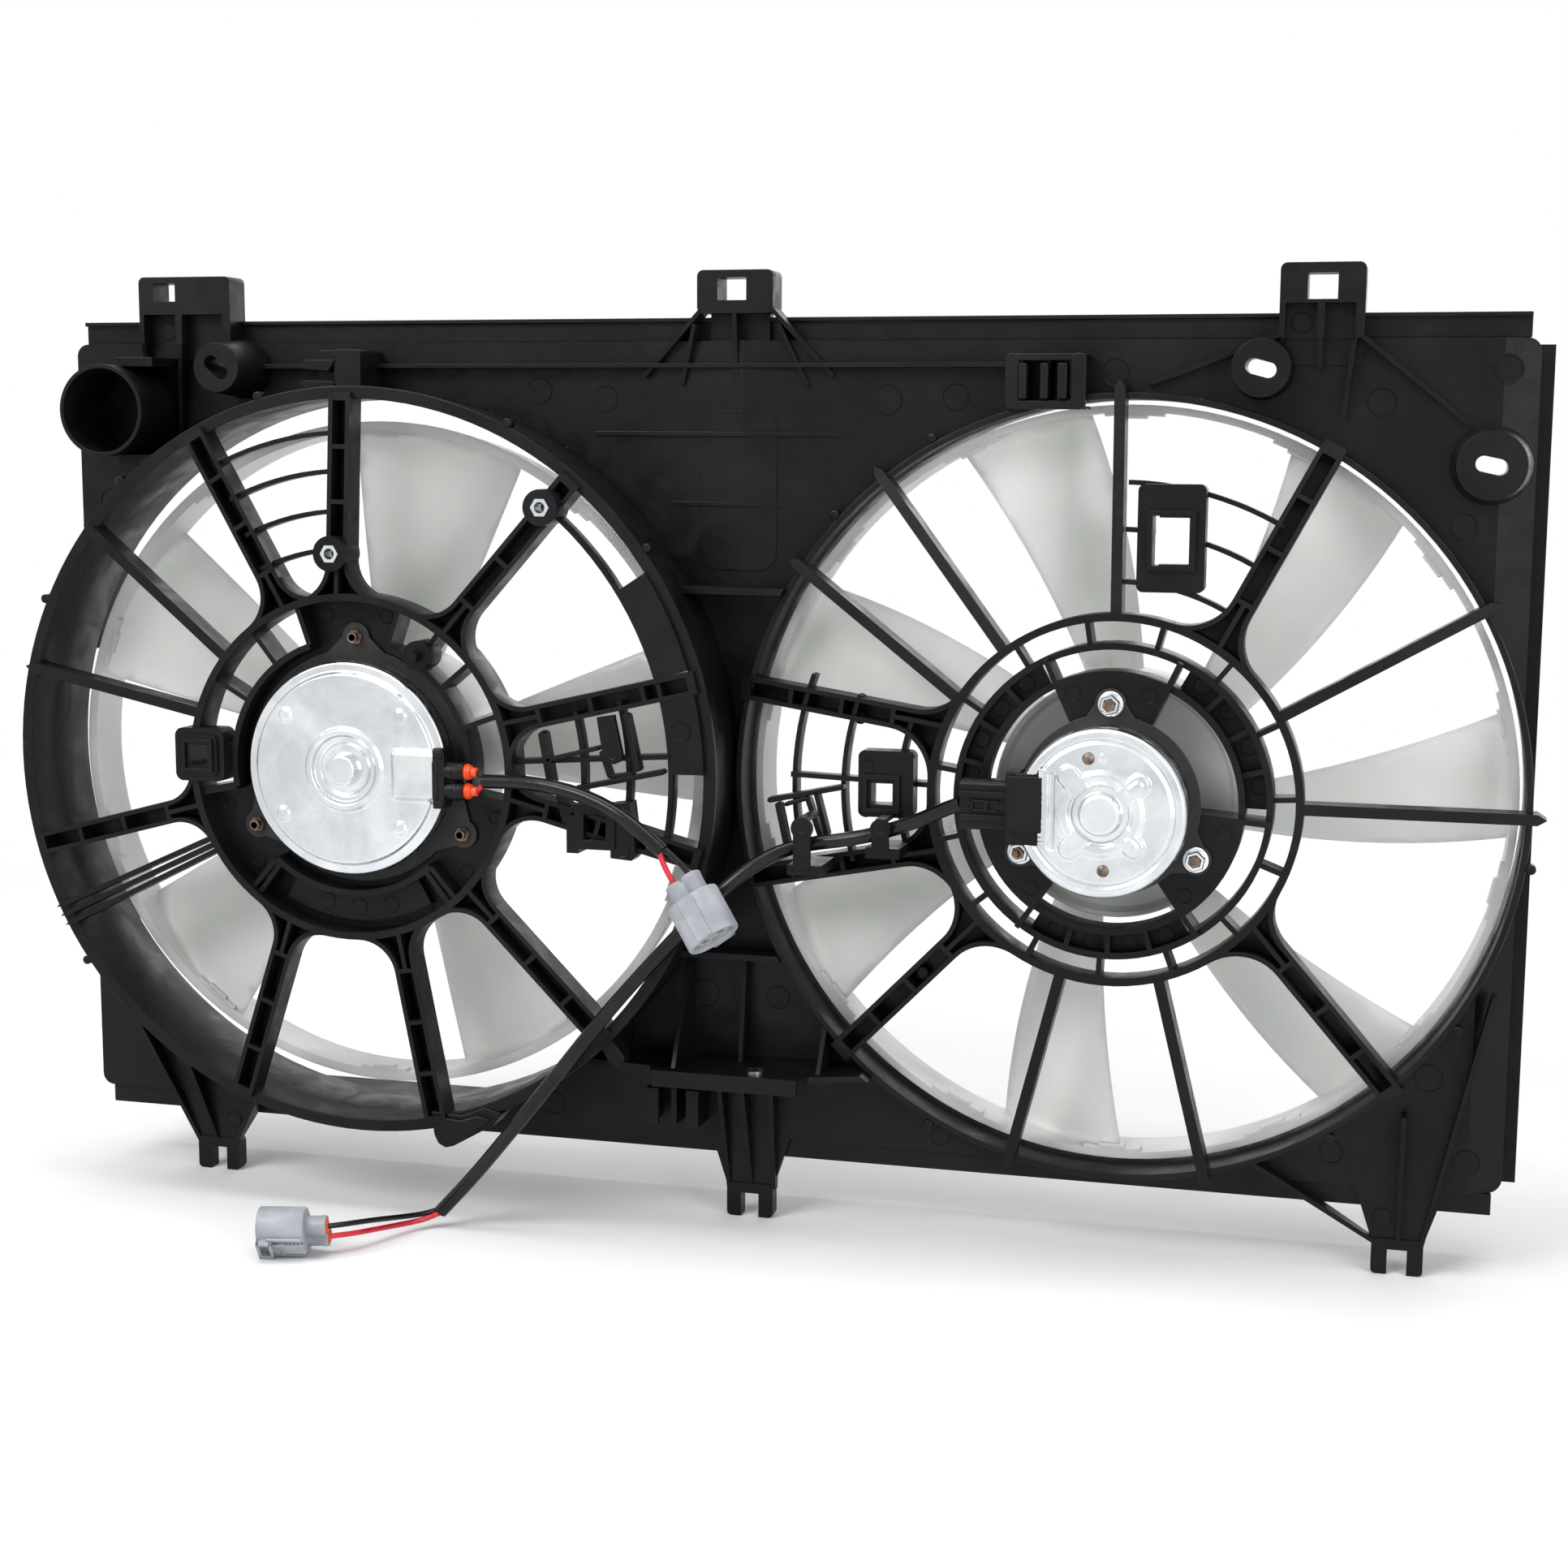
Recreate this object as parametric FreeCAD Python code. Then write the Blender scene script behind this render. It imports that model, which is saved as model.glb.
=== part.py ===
import FreeCAD, Part
import math
import os

# Twin radiator cooling fan: a moulded shroud with two fan rings, two motors and two banded fans.
# Frame: X across the radiator, Y from the engine side (negative) to the radiator (positive), Z up.
# Origin: middle of the shroud's width, front face of its panel, tips of the locating feet.
# Depths called "front" or "ahead" are measured from the panel's face towards the engine, along -Y.
# The rings and the motors drive the sizes: the panel, hubs, struts and fans follow from them.

V = FreeCAD.Vector

# Rings and the panel round them
LEFT_RING_R = 176.0
RIGHT_RING_R = 180.0
WALL = 3.0
RING_GAP = 2.5
RINGS_MIDDLE_X = -4.75
LEFT_OVERHANG = 6.5
RIGHT_OVERHANG = 5.0
LEFT_BOTTOM_MARGIN = 4.8
RIGHT_BOTTOM_MARGIN = -2.5
LEFT_TOP_MARGIN = 24.7
RIGHT_TOP_MARGIN = 24.0
FOOT_DROP = 41.0
PLENUM_DEPTH = 38.0
PANEL_CORNER_R = 6.0
FACET_WIDTH = 15.5
FACET_DEPTH = 8.0
FLANGE_OUT = 7.0
LIP_HEIGHT = 11.0
LIP_INSET = 4.5
LIP_BACK = 3.0
LIP_BEAD = 2.5
RIDGE_X = -2.0
RIDGE_RISE = 7.0
RIDGE_HALF = 66.0
RIB_T = 2.2
RIB_RISE = 8.0
PATCH_RISE = 1.2
PATCH_LEFT = 21.0
PATCH_RIGHT = 16.0
PATCH_BELOW_TOP = 32.5
PATCH_HEIGHT = 75.0
PATCH_R = 8.0
LEFT_RING_FRONT = 49.3
LEFT_RING_BACK = 3.0
LEFT_RIM_OUT = 3.0
RIGHT_RING_FRONT = 14.0
RIGHT_RING_BACK = 36.0

# Shelves between the rings, their heights counted from the left ring's middle
UPPER_SHELF_UP = 88.2
CROSS_BAR_DOWN = 91.8
LOWER_SHELF_DOWN = 145.8
UPPER_SHELF_FRONT = 22.0
UPPER_SHELF_HALF = 40.0
CROSS_BAR_FRONT = 16.0
LOWER_SHELF_FRONT = 40.0
LOWER_SHELF_HALF = 36.0
LOWER_SHELF_REACH = 100.0
SHELF_NOSE = 5.0

# Top clips, feet, hose holder, bosses and harness clips
CLIP_RISE = 32.5
CLIP_FRONT = 10.0
CLIP_BACK = 6.0
CLIP_CORNER_R = 3.0
CLIP_WIDTH_LEFT = 50.0
CLIP_WIDTH = 37.0
CLIP_LEFT_IN = 41.5
CLIP_RIGHT_IN = 75.5
CLIP_CENTRE_OFF = -22.0
FOOT_WIDTH = 23.5
FOOT_LEFT_IN = 55.5
FOOT_RIGHT_IN = 33.5
FOOT_MIDDLE_OFF = -9.25
FOOT_SLOT_HALF = 4.5
FOOT_SLOT_TOP = 12.0
FOOT_BLOCK_TOP = 17.0
FOOT_THICKNESS = 8.0
FOOT_RIB_RISE = 12.0
HOSE_IN = 35.5
HOSE_DOWN = 33.5
HOSE_BORE_R = 20.5
HOSE_WALL = 2.0
HOSE_FRONT = 40.0
BOSS_SLOT_HALF_W = 3.5
BOSS_SLOT_LEN = 14.0
RIVET_OFF_RIDGE = 13.0
RIVET_AHEAD = 30.0
RIVET_R = 2.4

# Motors
SHAFT_R = 4.0
SHAFT_CLEAR = 0.05
BEARING_R = 8.0
BEARING_LEN = 5.0
BEARING_BOSS_LEN = 4.5
CAN_T = 1.6
EAR_T = 2.0
EAR_R = 7.0
LEFT_CAN_R = 50.0
LEFT_CAN_LEN = 38.0
LEFT_FACE_AHEAD = 17.5
LEFT_STUD_OUT = 12.5
LEFT_PLATE_OUT = 7.0
LEFT_BOSS_RISE = 5.0
RIGHT_CAN_R = 36.0
RIGHT_CAN_LEN = 44.0
RIGHT_FACE_AHEAD = 29.0
RIGHT_STUD_OUT = 9.5
RIGHT_PLATE_OUT = 5.0
RIGHT_BOSS_RISE = 4.4
COVER_LAP = 1.8
COVER_SKIRT = 3.5
MAGNET_T = 4.5
ROTOR_GAP = 1.0
STUD_R = 2.5
BUTTON_R = 3.3

# Hub rings and motor seats, outwards from the motors
LEFT_PAD_FRONT = 44.0
LEFT_HUB_AHEAD = 13.5
LEFT_INNER_AHEAD = 10.8
LEFT_HUB_OUT = 21.5
LEFT_INNER_OUT = 0.5
LEFT_BORE_GAP = 1.0
RIGHT_PAD_FRONT = 46.0
RIGHT_HUB_BEHIND = 9.5
RIGHT_SECOND_BEHIND = 7.0
RIGHT_THIRD_BEHIND = 3.0
RIGHT_HUB_OUT = 39.5
RIGHT_SECOND_OUT = 26.5
RIGHT_THIRD_OUT = 14.5
RIGHT_BORE_GAP = 2.5
HUB_WALL = 3.5
HUB_DEPTH = 14.0
WEB_T = 2.4
PAD_T = 4.5
PAD_HALF_DEG = 19.0

# Struts
LEFT_FLARE = 18.0
RIGHT_FLARE = 22.0
ARM_WIDTH = 11.0
ARM_DEPTH = 13.0
ARM_WALL = 2.2
ARM_FLOOR = 2.5
ARM_WEB_PITCH = 26.0
BAR_WIDTH = 5.0
BAR_PROUD = 3.0
BAR_POINT = 4.0
NUT_BOSS_R = 8.5
NUT_BOSS_AHEAD = 2.5
NUT_BOSS_LEN = 16.0
NUT_BORE_R = 2.6
NUT_HEX_R = 4.6
NUT_LEN = 8.0

# Fans
LEFT_BLADES = 5
LEFT_BAND_GAP = 13.0
LEFT_BAND_FRONT = 14.0
LEFT_BAND_DEPTH = 24.0
LEFT_FAN_HUB_R = 56.0
LEFT_FAN_HUB_FRONT = 30.0
LEFT_FAN_HUB_BACK = 9.0
RIGHT_BLADES = 7
RIGHT_BAND_GAP = 3.5
RIGHT_BAND_FRONT = -4.0
RIGHT_BAND_DEPTH = 25.0
RIGHT_FAN_HUB_R = 56.0
RIGHT_FAN_HUB_FRONT = 22.0
RIGHT_FAN_HUB_BACK = 26.0
BAND_T = 2.2
LEFT_BAND_LIP = 2.5
RIGHT_BAND_LIP = 1.2
HUB_SKIRT_T = 2.5
BLADE_T = 2.0
FAN_NUT_R = 6.5
LEFT_DISC_BACK = 32.5
RIGHT_DISC_BACK = 29.0

# Lead outlets
LEFT_OUTLET_AHEAD = 16.0
LEFT_OUTLET_UPPER = 1.1
LEFT_OUTLET_LOWER = -8.0
LEFT_OUTLET_OUT = 11.5
BARREL_R = 4.6
RIGHT_PLUG_OUT = 27.5
RIGHT_PLUG_HALF = 11.0
NOTCH_GAP = 0.3

# Leads
SLEEVE_R = 3.4
WIRE_R = 1.3
SEAL_R = 3.6
SEAL_LEN = 6.5
PLUG_LEN = 32.0
PLUG_WIDTH = 26.0
PLUG_HEIGHT = 18.0
TAIL_PITCH = 8.8
TOWER_R = 4.9
TOWER_LEN = 10.0
HOOD_WALL = 2.2
LATCH_RISE = 3.0

# Derived places
BOTTOM = FOOT_DROP
LEFT_RING_OUT = LEFT_RING_R + WALL
RIGHT_RING_OUT = RIGHT_RING_R + WALL
LEFT_X = RINGS_MIDDLE_X - RING_GAP / 2.0 - LEFT_RING_OUT
RIGHT_X = RINGS_MIDDLE_X + RING_GAP / 2.0 + RIGHT_RING_OUT
LEFT_Z = BOTTOM + LEFT_BOTTOM_MARGIN + LEFT_RING_OUT
RIGHT_Z = BOTTOM + RIGHT_BOTTOM_MARGIN + RIGHT_RING_OUT
PANEL_LEFT = LEFT_X - LEFT_RING_OUT + LEFT_OVERHANG
PANEL_RIGHT = RIGHT_X + RIGHT_RING_OUT - RIGHT_OVERHANG
TOP = max(LEFT_Z + LEFT_RING_OUT + LEFT_TOP_MARGIN, RIGHT_Z + RIGHT_RING_OUT + RIGHT_TOP_MARGIN)
CLIP_TOP = TOP + CLIP_RISE
UPPER_SHELF_Z = LEFT_Z + UPPER_SHELF_UP
CROSS_BAR_Z = LEFT_Z - CROSS_BAR_DOWN
LOWER_SHELF_Z = LEFT_Z - LOWER_SHELF_DOWN
HOSE_X = PANEL_LEFT + HOSE_IN
HOSE_Z = TOP - HOSE_DOWN
RIVET_X = RIDGE_X + RIVET_OFF_RIDGE
LEFT_COVER_FRONT = LEFT_PAD_FRONT + LEFT_FACE_AHEAD
RIGHT_COVER_FRONT = RIGHT_PAD_FRONT + RIGHT_FACE_AHEAD
LEFT_STUD_PCD_R = LEFT_CAN_R + LEFT_STUD_OUT
RIGHT_STUD_PCD_R = RIGHT_CAN_R + RIGHT_STUD_OUT
LEFT_BORE_R = LEFT_CAN_R + LEFT_BORE_GAP
RIGHT_BORE_R = RIGHT_CAN_R + RIGHT_BORE_GAP
LEFT_INNER_R = LEFT_STUD_PCD_R + LEFT_INNER_OUT
LEFT_HUB_R = LEFT_STUD_PCD_R + LEFT_HUB_OUT
RIGHT_THIRD_R = RIGHT_STUD_PCD_R + RIGHT_THIRD_OUT
RIGHT_SECOND_R = RIGHT_STUD_PCD_R + RIGHT_SECOND_OUT
RIGHT_HUB_R = RIGHT_STUD_PCD_R + RIGHT_HUB_OUT
LEFT_HUB_FRONT = LEFT_PAD_FRONT + LEFT_HUB_AHEAD
LEFT_INNER_FRONT = LEFT_PAD_FRONT + LEFT_INNER_AHEAD
RIGHT_HUB_FRONT = RIGHT_PAD_FRONT - RIGHT_HUB_BEHIND
RIGHT_SECOND_FRONT = RIGHT_PAD_FRONT - RIGHT_SECOND_BEHIND
RIGHT_THIRD_FRONT = RIGHT_PAD_FRONT - RIGHT_THIRD_BEHIND
LEFT_BAND_R = LEFT_RING_R - LEFT_BAND_GAP
RIGHT_BAND_R = RIGHT_RING_R - RIGHT_BAND_GAP
LEFT_DISC_Y = -LEFT_PAD_FRONT + LEFT_DISC_BACK
RIGHT_DISC_Y = -RIGHT_PAD_FRONT + RIGHT_DISC_BACK
NUT_BOSS_FRONT = LEFT_HUB_FRONT + NUT_BOSS_AHEAD
BEARING_BOSS_R = BEARING_R + 2.0
PAD_ANGLES = (90.0, -30.0, -150.0)


def along_y(x, z, radius, front, back):
    """Round bar about an axis parallel to Y, between two Y values."""
    return Part.makeCylinder(radius, back - front, V(x, front, z), V(0, 1, 0))


def along_x(y, z, radius, x0, x1):
    """Round bar about an axis parallel to X, between two X values."""
    return Part.makeCylinder(radius, x1 - x0, V(x0, y, z), V(1, 0, 0))


def tube_y(x, z, outer, inner, front, back):
    hole = along_y(x, z, inner, front - 1.0, back + 1.0)
    return along_y(x, z, outer, front, back).cut(hole)


def block(x0, x1, y0, y1, z0, z1):
    return Part.makeBox(x1 - x0, y1 - y0, z1 - z0, V(x0, y0, z0))


def outline_y(points, y0, y1):
    """Polygon in the XZ plane, extruded from y0 to y1."""
    wire = Part.makePolygon([V(px, y0, pz) for px, pz in points + points[:1]])
    return Part.Face(wire).extrude(V(0, y1 - y0, 0))


def outline_z(points, z0, z1):
    """Polygon in the XY plane, extruded from z0 to z1."""
    wire = Part.makePolygon([V(px, py, z0) for px, py in points + points[:1]])
    return Part.Face(wire).extrude(V(0, 0, z1 - z0))


def rounded_y(x0, x1, z0, z1, radius, y0, y1):
    """Rectangle with rounded corners in the XZ plane, extruded from y0 to y1."""
    solid = block(x0, x1, y0, y1, z0, z1)
    edges = [e for e in solid.Edges if abs(e.tangentAt(e.FirstParameter).y) > 0.99]
    return solid.makeFillet(radius, edges)


def turned(x, z, profile):
    """Closed profile of (radius, y) points turned about the axis parallel to Y through x, z."""
    wire = Part.makePolygon([V(x + r, y, z) for r, y in profile + profile[:1]])
    return Part.Face(wire).revolve(V(x, 0, z), V(0, 1, 0), 360)


def sector(x, z, inner, outer, start, end, y0, y1):
    """Part of a ring between two angles, counted from +X towards +Z."""
    corners = [V(inner, y0, 0), V(outer, y0, 0), V(outer, y1, 0), V(inner, y1, 0), V(inner, y0, 0)]
    solid = Part.Face(Part.makePolygon(corners)).revolve(V(0, 0, 0), V(0, -1, 0), end - start)
    return placed(solid, x, z, start)


def placed(solid, x, z, degrees):
    """Turn a solid made about the Y axis by an angle from +X towards +Z, then move it to x, z."""
    solid.rotate(V(0, 0, 0), V(0, -1, 0), degrees)
    solid.translate(V(x, 0, z))
    return solid


def polar(x, z, radius, degrees):
    angle = math.radians(degrees)
    return x + radius * math.cos(angle), z + radius * math.sin(angle)


def fused(solids):
    result = solids[0]
    if len(solids) > 1:
        result = solids[0].multiFuse(solids[1:])
    return result.removeSplitter()


def parts_of(shape):
    """Solids of a shape as one compound, for a node that holds several of them."""
    return Part.makeCompound(shape.Solids)


def rib(x0, z0, x1, z1, rise0, rise1, thickness=RIB_T, back=0.0):
    """Thin rib standing on the panel from one point to another, its height changing along it."""
    length = math.hypot(x1 - x0, z1 - z0)
    side = [V(0, back, 0), V(0, -rise0, 0), V(length, -rise1, 0), V(length, back, 0), V(0, back, 0)]
    solid = Part.Face(Part.makePolygon(side)).extrude(V(0, 0, thickness))
    solid.translate(V(0, 0, -thickness / 2.0))
    return placed(solid, x0, z0, math.degrees(math.atan2(z1 - z0, x1 - x0)))


# Panel and plenum

def plenum_solid(inset, back):
    """Outer form of the panel and its side walls, moved inwards by the wall when asked."""
    left = PANEL_LEFT + inset
    right = PANEL_RIGHT - inset
    profile = [
        (left, back),
        (left, inset),
        (right - FACET_WIDTH, inset),
        (right, FACET_DEPTH + inset),
        (right, back),
    ]
    return outline_z(profile, BOTTOM + inset, TOP - inset)


def plenum_shell():
    """Panel and walls together, before the walls are taken off as their own node."""
    outer = plenum_solid(0.0, PLENUM_DEPTH)
    along = [e for e in outer.Edges if abs(e.tangentAt(e.FirstParameter).y) > 0.99]
    corners = [e for e in along if e.Length > FACET_DEPTH]
    outer = outer.makeFillet(PANEL_CORNER_R, corners)
    return outer.cut(plenum_solid(WALL, PLENUM_DEPTH + 1.0))


def behind_panel():
    """Space behind the panel's back face, which follows the facet at its right edge."""
    facet = PANEL_RIGHT - FACET_WIDTH - WALL
    deep = FACET_DEPTH + WALL
    far = PLENUM_DEPTH + 20.0
    profile = [(PANEL_LEFT - 50, WALL), (facet, WALL), (PANEL_RIGHT - WALL, deep), (PANEL_RIGHT + 50, deep)]
    profile += [(PANEL_RIGHT + 50, far), (PANEL_LEFT - 50, far)]
    return outline_z(profile, BOTTOM - 50, TOP + 50)


def ridge_solid(rise):
    """Shallow roof between the two rings, its ridge line vertical."""
    left, right = RIDGE_X - RIDGE_HALF, RIDGE_X + RIDGE_HALF
    profile = [(left, 0.5), (left, 0.0), (RIDGE_X, -rise), (right, 0.0), (right, 0.5)]
    return outline_z(profile, UPPER_SHELF_Z, TOP)


def raised_patch():
    skin = ridge_solid(RIDGE_RISE + PATCH_RISE)
    high = TOP - PATCH_BELOW_TOP
    left, right = RIDGE_X - PATCH_LEFT, RIDGE_X + PATCH_RIGHT
    window = rounded_y(left, right, high - PATCH_HEIGHT, high, PATCH_R, -20.0, 0.5)
    return skin.common(window)


def ring_holes():
    """Space of both ring walls, cut from everything that they pass through."""
    left = along_y(LEFT_X, LEFT_Z, LEFT_RING_OUT, -200.0, 200.0)
    right = along_y(RIGHT_X, RIGHT_Z, RIGHT_RING_OUT, -200.0, 200.0)
    return [left, right]


def clear_of_rings(shape):
    for hole in ring_holes():
        shape = shape.cut(hole)
    return shape


def shroud_panel():
    """Front sheet of the shroud with its ridge, cut by the rings and the slots of the bosses."""
    panel = fused([plenum_shell().cut(behind_panel()), ridge_solid(RIDGE_RISE), raised_patch()])
    for boss in BOSSES:
        panel = panel.cut(boss_slot(boss))
    return clear_of_rings(panel)


def plenum_walls():
    """Side walls behind the panel and the flange that meets the radiator."""
    walls = plenum_shell().common(behind_panel())
    back = PLENUM_DEPTH
    front = PLENUM_DEPTH - WALL
    left, right = PANEL_LEFT - FLANGE_OUT, PANEL_RIGHT + FLANGE_OUT
    flange = block(left, right, front, back, BOTTOM - WALL, TOP - 2.0)
    inner = plenum_solid(WALL, PLENUM_DEPTH + 1.0)
    return clear_of_rings(fused([walls, flange.cut(inner)]))


def edge_lips():
    """Tongues along the top and bottom that drop into the radiator's tanks."""
    x0 = PANEL_LEFT + LIP_INSET
    x1 = PANEL_RIGHT - LIP_INSET
    back = LIP_BACK + WALL
    top = block(x0, x1, LIP_BACK, back, TOP, TOP + LIP_HEIGHT)
    bead = block(x0, x1, LIP_BACK - LIP_BEAD, LIP_BACK, TOP + LIP_HEIGHT - 2.0, TOP + LIP_HEIGHT)
    bottom = block(x0, x1, LIP_BACK, back, BOTTOM - LIP_HEIGHT + 1.0, BOTTOM)
    return clear_of_rings(Part.makeCompound([fused([top, bead]), bottom]))


def panel_ribs():
    """Stiffening ribs on the panel's front face."""
    long_z = TOP - 11.5
    upper_z = TOP - 43.5
    lower_z = TOP - 76.5
    over = RIDGE_RISE + 2.5
    ribs = [
        rib(PANEL_LEFT + 106.5, long_z, PANEL_RIGHT - 233.5, long_z, RIB_RISE, RIB_RISE),
        fused([
            rib(RIDGE_X - 77.0, upper_z, RIDGE_X, upper_z, 0.5, over),
            rib(RIDGE_X, upper_z, RIDGE_X + 60.0, upper_z, over, 0.5),
        ]),
        fused([
            rib(RIDGE_X - 44.0, lower_z, RIDGE_X, lower_z, 2.0, over),
            rib(RIDGE_X, lower_z, RIDGE_X + 26.0, lower_z, over, 4.0),
        ]),
    ]
    return ribs


def centre_post():
    """Shelves and cross bar between the rings that stiffen the narrow middle."""
    half = UPPER_SHELF_HALF
    upper_z = UPPER_SHELF_Z - WALL
    edge = [(-half, 0), (-half + 4, -UPPER_SHELF_FRONT), (half - 4, -UPPER_SHELF_FRONT), (half, 0)]
    upper = outline_z([(RIDGE_X + px, py) for px, py in edge], upper_z, UPPER_SHELF_Z)
    bar = block(RIDGE_X - half, RIDGE_X + half, -CROSS_BAR_FRONT, 0.0, CROSS_BAR_Z, CROSS_BAR_Z + WALL)
    front = -LOWER_SHELF_FRONT
    wide, nose = LOWER_SHELF_REACH, LOWER_SHELF_HALF
    edge = [(-wide, 0), (-wide + 5, -24), (-nose - 3, front + 8), (-nose, front), (nose, front)]
    edge += [(nose + 4, front + 8), (wide - 4, -12), (wide, 0)]
    lower = outline_z([(RIDGE_X + px, py) for px, py in edge], LOWER_SHELF_Z, LOWER_SHELF_Z + WALL)
    lip = block(RIDGE_X - nose, RIDGE_X + nose, front, front + WALL, LOWER_SHELF_Z - SHELF_NOSE, LOWER_SHELF_Z)
    low = LOWER_SHELF_Z + WALL
    walls = []
    spread = ((-60.0, 26.0, CROSS_BAR_Z - 15.0), (-28.0, 34.0, CROSS_BAR_Z), (0.0, 14.0, CROSS_BAR_Z))
    for off, depth, top in spread + ((42.0, 26.0, CROSS_BAR_Z - 21.0),):
        side = [(0.0, low), (-depth, low), (-6.0, top), (0.0, top)]
        wire = Part.makePolygon([V(RIDGE_X + off, py, pz) for py, pz in side + side[:1]])
        walls.append(Part.Face(wire).extrude(V(RIB_T, 0, 0)))
    return [upper, bar, lower, lip] + walls


# Top clips, feet, bosses and the hose holder

LEFT_CLIP_X = PANEL_LEFT + CLIP_LEFT_IN
CENTRE_CLIP_X = RIDGE_X + CLIP_CENTRE_OFF
RIGHT_CLIP_X = PANEL_RIGHT - CLIP_RIGHT_IN - CLIP_WIDTH
CLIPS = (
    {"x": (LEFT_CLIP_X, LEFT_CLIP_X + CLIP_WIDTH_LEFT), "height": 33.0, "window": (8.0, 20.0, 12.0, 3.0)},
    {"x": (CENTRE_CLIP_X, CENTRE_CLIP_X + CLIP_WIDTH), "height": 20.0, "window": (10.0, 24.0, 14.0, 3.5)},
    {"x": (RIGHT_CLIP_X, RIGHT_CLIP_X + CLIP_WIDTH), "height": 33.0, "window": (12.0, 25.0, 16.0, 4.5)},
)


def clip_block(clip, front):
    """Socket over the radiator's top bracket, with a latch window right through it."""
    x0, x1 = clip["x"]
    body = rounded_y(x0, x1, CLIP_TOP - clip["height"], CLIP_TOP, CLIP_CORNER_R, -front, CLIP_BACK)
    from_left, to_left, low, high = clip["window"]
    left, right = x0 + from_left, x0 + to_left
    window = block(left, right, -front - 1.0, CLIP_BACK + 1.0, CLIP_TOP - low, CLIP_TOP - high)
    return body.cut(window)


def panel_space():
    """Space filled by the panel, walls and lips, which whatever stands on them is cut by."""
    lips = [block(PANEL_LEFT, PANEL_RIGHT, 0.0, PLENUM_DEPTH, BOTTOM, TOP)]
    for z0, z1 in ((TOP, TOP + LIP_HEIGHT), (BOTTOM - LIP_HEIGHT + 1.0, BOTTOM)):
        lips.append(block(PANEL_LEFT + LIP_INSET, PANEL_RIGHT - LIP_INSET, LIP_BACK, LIP_BACK + WALL, z0, z1))
    bead_top = TOP + LIP_HEIGHT
    x0, x1 = PANEL_LEFT + LIP_INSET, PANEL_RIGHT - LIP_INSET
    lips.append(block(x0, x1, LIP_BACK - LIP_BEAD, LIP_BACK, bead_top - 2.0, bead_top))
    return lips


def on_panel(shape):
    """Shape with the space of the panel, its lips, its ridge and the rings taken off it."""
    for space in panel_space():
        shape = shape.cut(space)
    shape = shape.cut(fused([ridge_solid(RIDGE_RISE), raised_patch()]))
    return clear_of_rings(shape)


def left_clip():
    clip = CLIPS[0]
    x0, x1 = clip["x"]
    low = CLIP_TOP - clip["height"] + 3.0
    pieces = [clip_block(clip, CLIP_FRONT), block(x0, x1, -2.0, CLIP_BACK, TOP - 8.0, low)]
    hose_edge = HOSE_X + 6.0
    pieces.append(rib(x0 + 1.5, low, hose_edge, HOSE_Z + HOSE_BORE_R + 2.5, CLIP_FRONT, 4.0))
    pieces.append(rib(x0 + 22.0, low, x0 + 17.0, TOP - 62.0, CLIP_FRONT, 3.0))
    pieces.append(rib(x1 - 1.5, low, x1 - 1.5, TOP - 12.0, CLIP_FRONT, 3.0))
    socket = along_y(HOSE_X, HOSE_Z, HOSE_BORE_R + HOSE_WALL, -HOSE_FRONT - 5.0, 1.0)
    return fused(pieces).cut(socket).cut(hose_holder())


def centre_clip():
    clip = CLIPS[1]
    x0, x1 = clip["x"]
    low = CLIP_TOP - clip["height"] + 3.0
    pieces = [clip_block(clip, CLIP_FRONT), block(x0 + 4.0, x1 - 4.0, 0.0, CLIP_BACK, TOP - 4.0, low)]
    spread = ((3.0, low, -28.0, TOP - 16.5), (-1.5, low - 8.0, -9.0, TOP - 20.5), (35.0, low, 65.0, TOP - 16.5))
    spread += ((39.5, low - 8.0, 53.0, TOP - 21.5), (18.0, low, 18.5, TOP - 34.5))
    for off0, z0, off1, z1 in spread:
        pieces.append(rib(x0 + off0, z0, x0 + off1, z1, CLIP_FRONT, 5.0, 2.0, 3.0))
    return fused(pieces)


def right_clip():
    clip = CLIPS[2]
    x0, x1 = clip["x"]
    low = CLIP_TOP - clip["height"] + 2.0
    pieces = [clip_block(clip, CLIP_FRONT), block(x0, x1, -1.0, CLIP_BACK, TOP - 12.0, low)]
    spread = ((1.0, -57.0, TOP - 20.5), (CLIP_WIDTH - 2.0, 83.0, TOP - 37.5), (CLIP_WIDTH - 4.0, 29.0, TOP - 35.5))
    spread += ((18.0, 18.0, TOP - 14.0), (1.5, 1.5, TOP - 14.0))
    for off0, off1, z1 in spread:
        pieces.append(rib(x0 + off0, low, x0 + off1, z1, CLIP_FRONT - 2.0, 3.0))
    return fused(pieces)


def top_clips():
    clips = on_panel(Part.makeCompound([left_clip(), centre_clip(), right_clip()]))
    for boss in BOSSES:
        clips = clips.cut(slotted_boss(boss))
    return parts_of(clips)


LEFT_FOOT_X = PANEL_LEFT + FOOT_LEFT_IN
MIDDLE_FOOT_X = RIDGE_X + FOOT_MIDDLE_OFF
RIGHT_FOOT_X = PANEL_RIGHT - FOOT_RIGHT_IN - FOOT_WIDTH
FEET = (
    {"x": LEFT_FOOT_X, "ribs": ((1.0, -32.0, 47.0), (11.0, 0.0, 21.0), (21.5, 40.0, 3.0))},
    {"x": MIDDLE_FOOT_X, "ribs": ((1.0, -2.0, 35.0), (12.5, 10.0, 31.0), (24.0, 25.0, 35.0))},
    {"x": RIGHT_FOOT_X, "ribs": ((1.5, -57.0, 11.0), (12.0, 12.5, 37.0), (22.5, 49.5, 95.0))},
)


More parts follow.
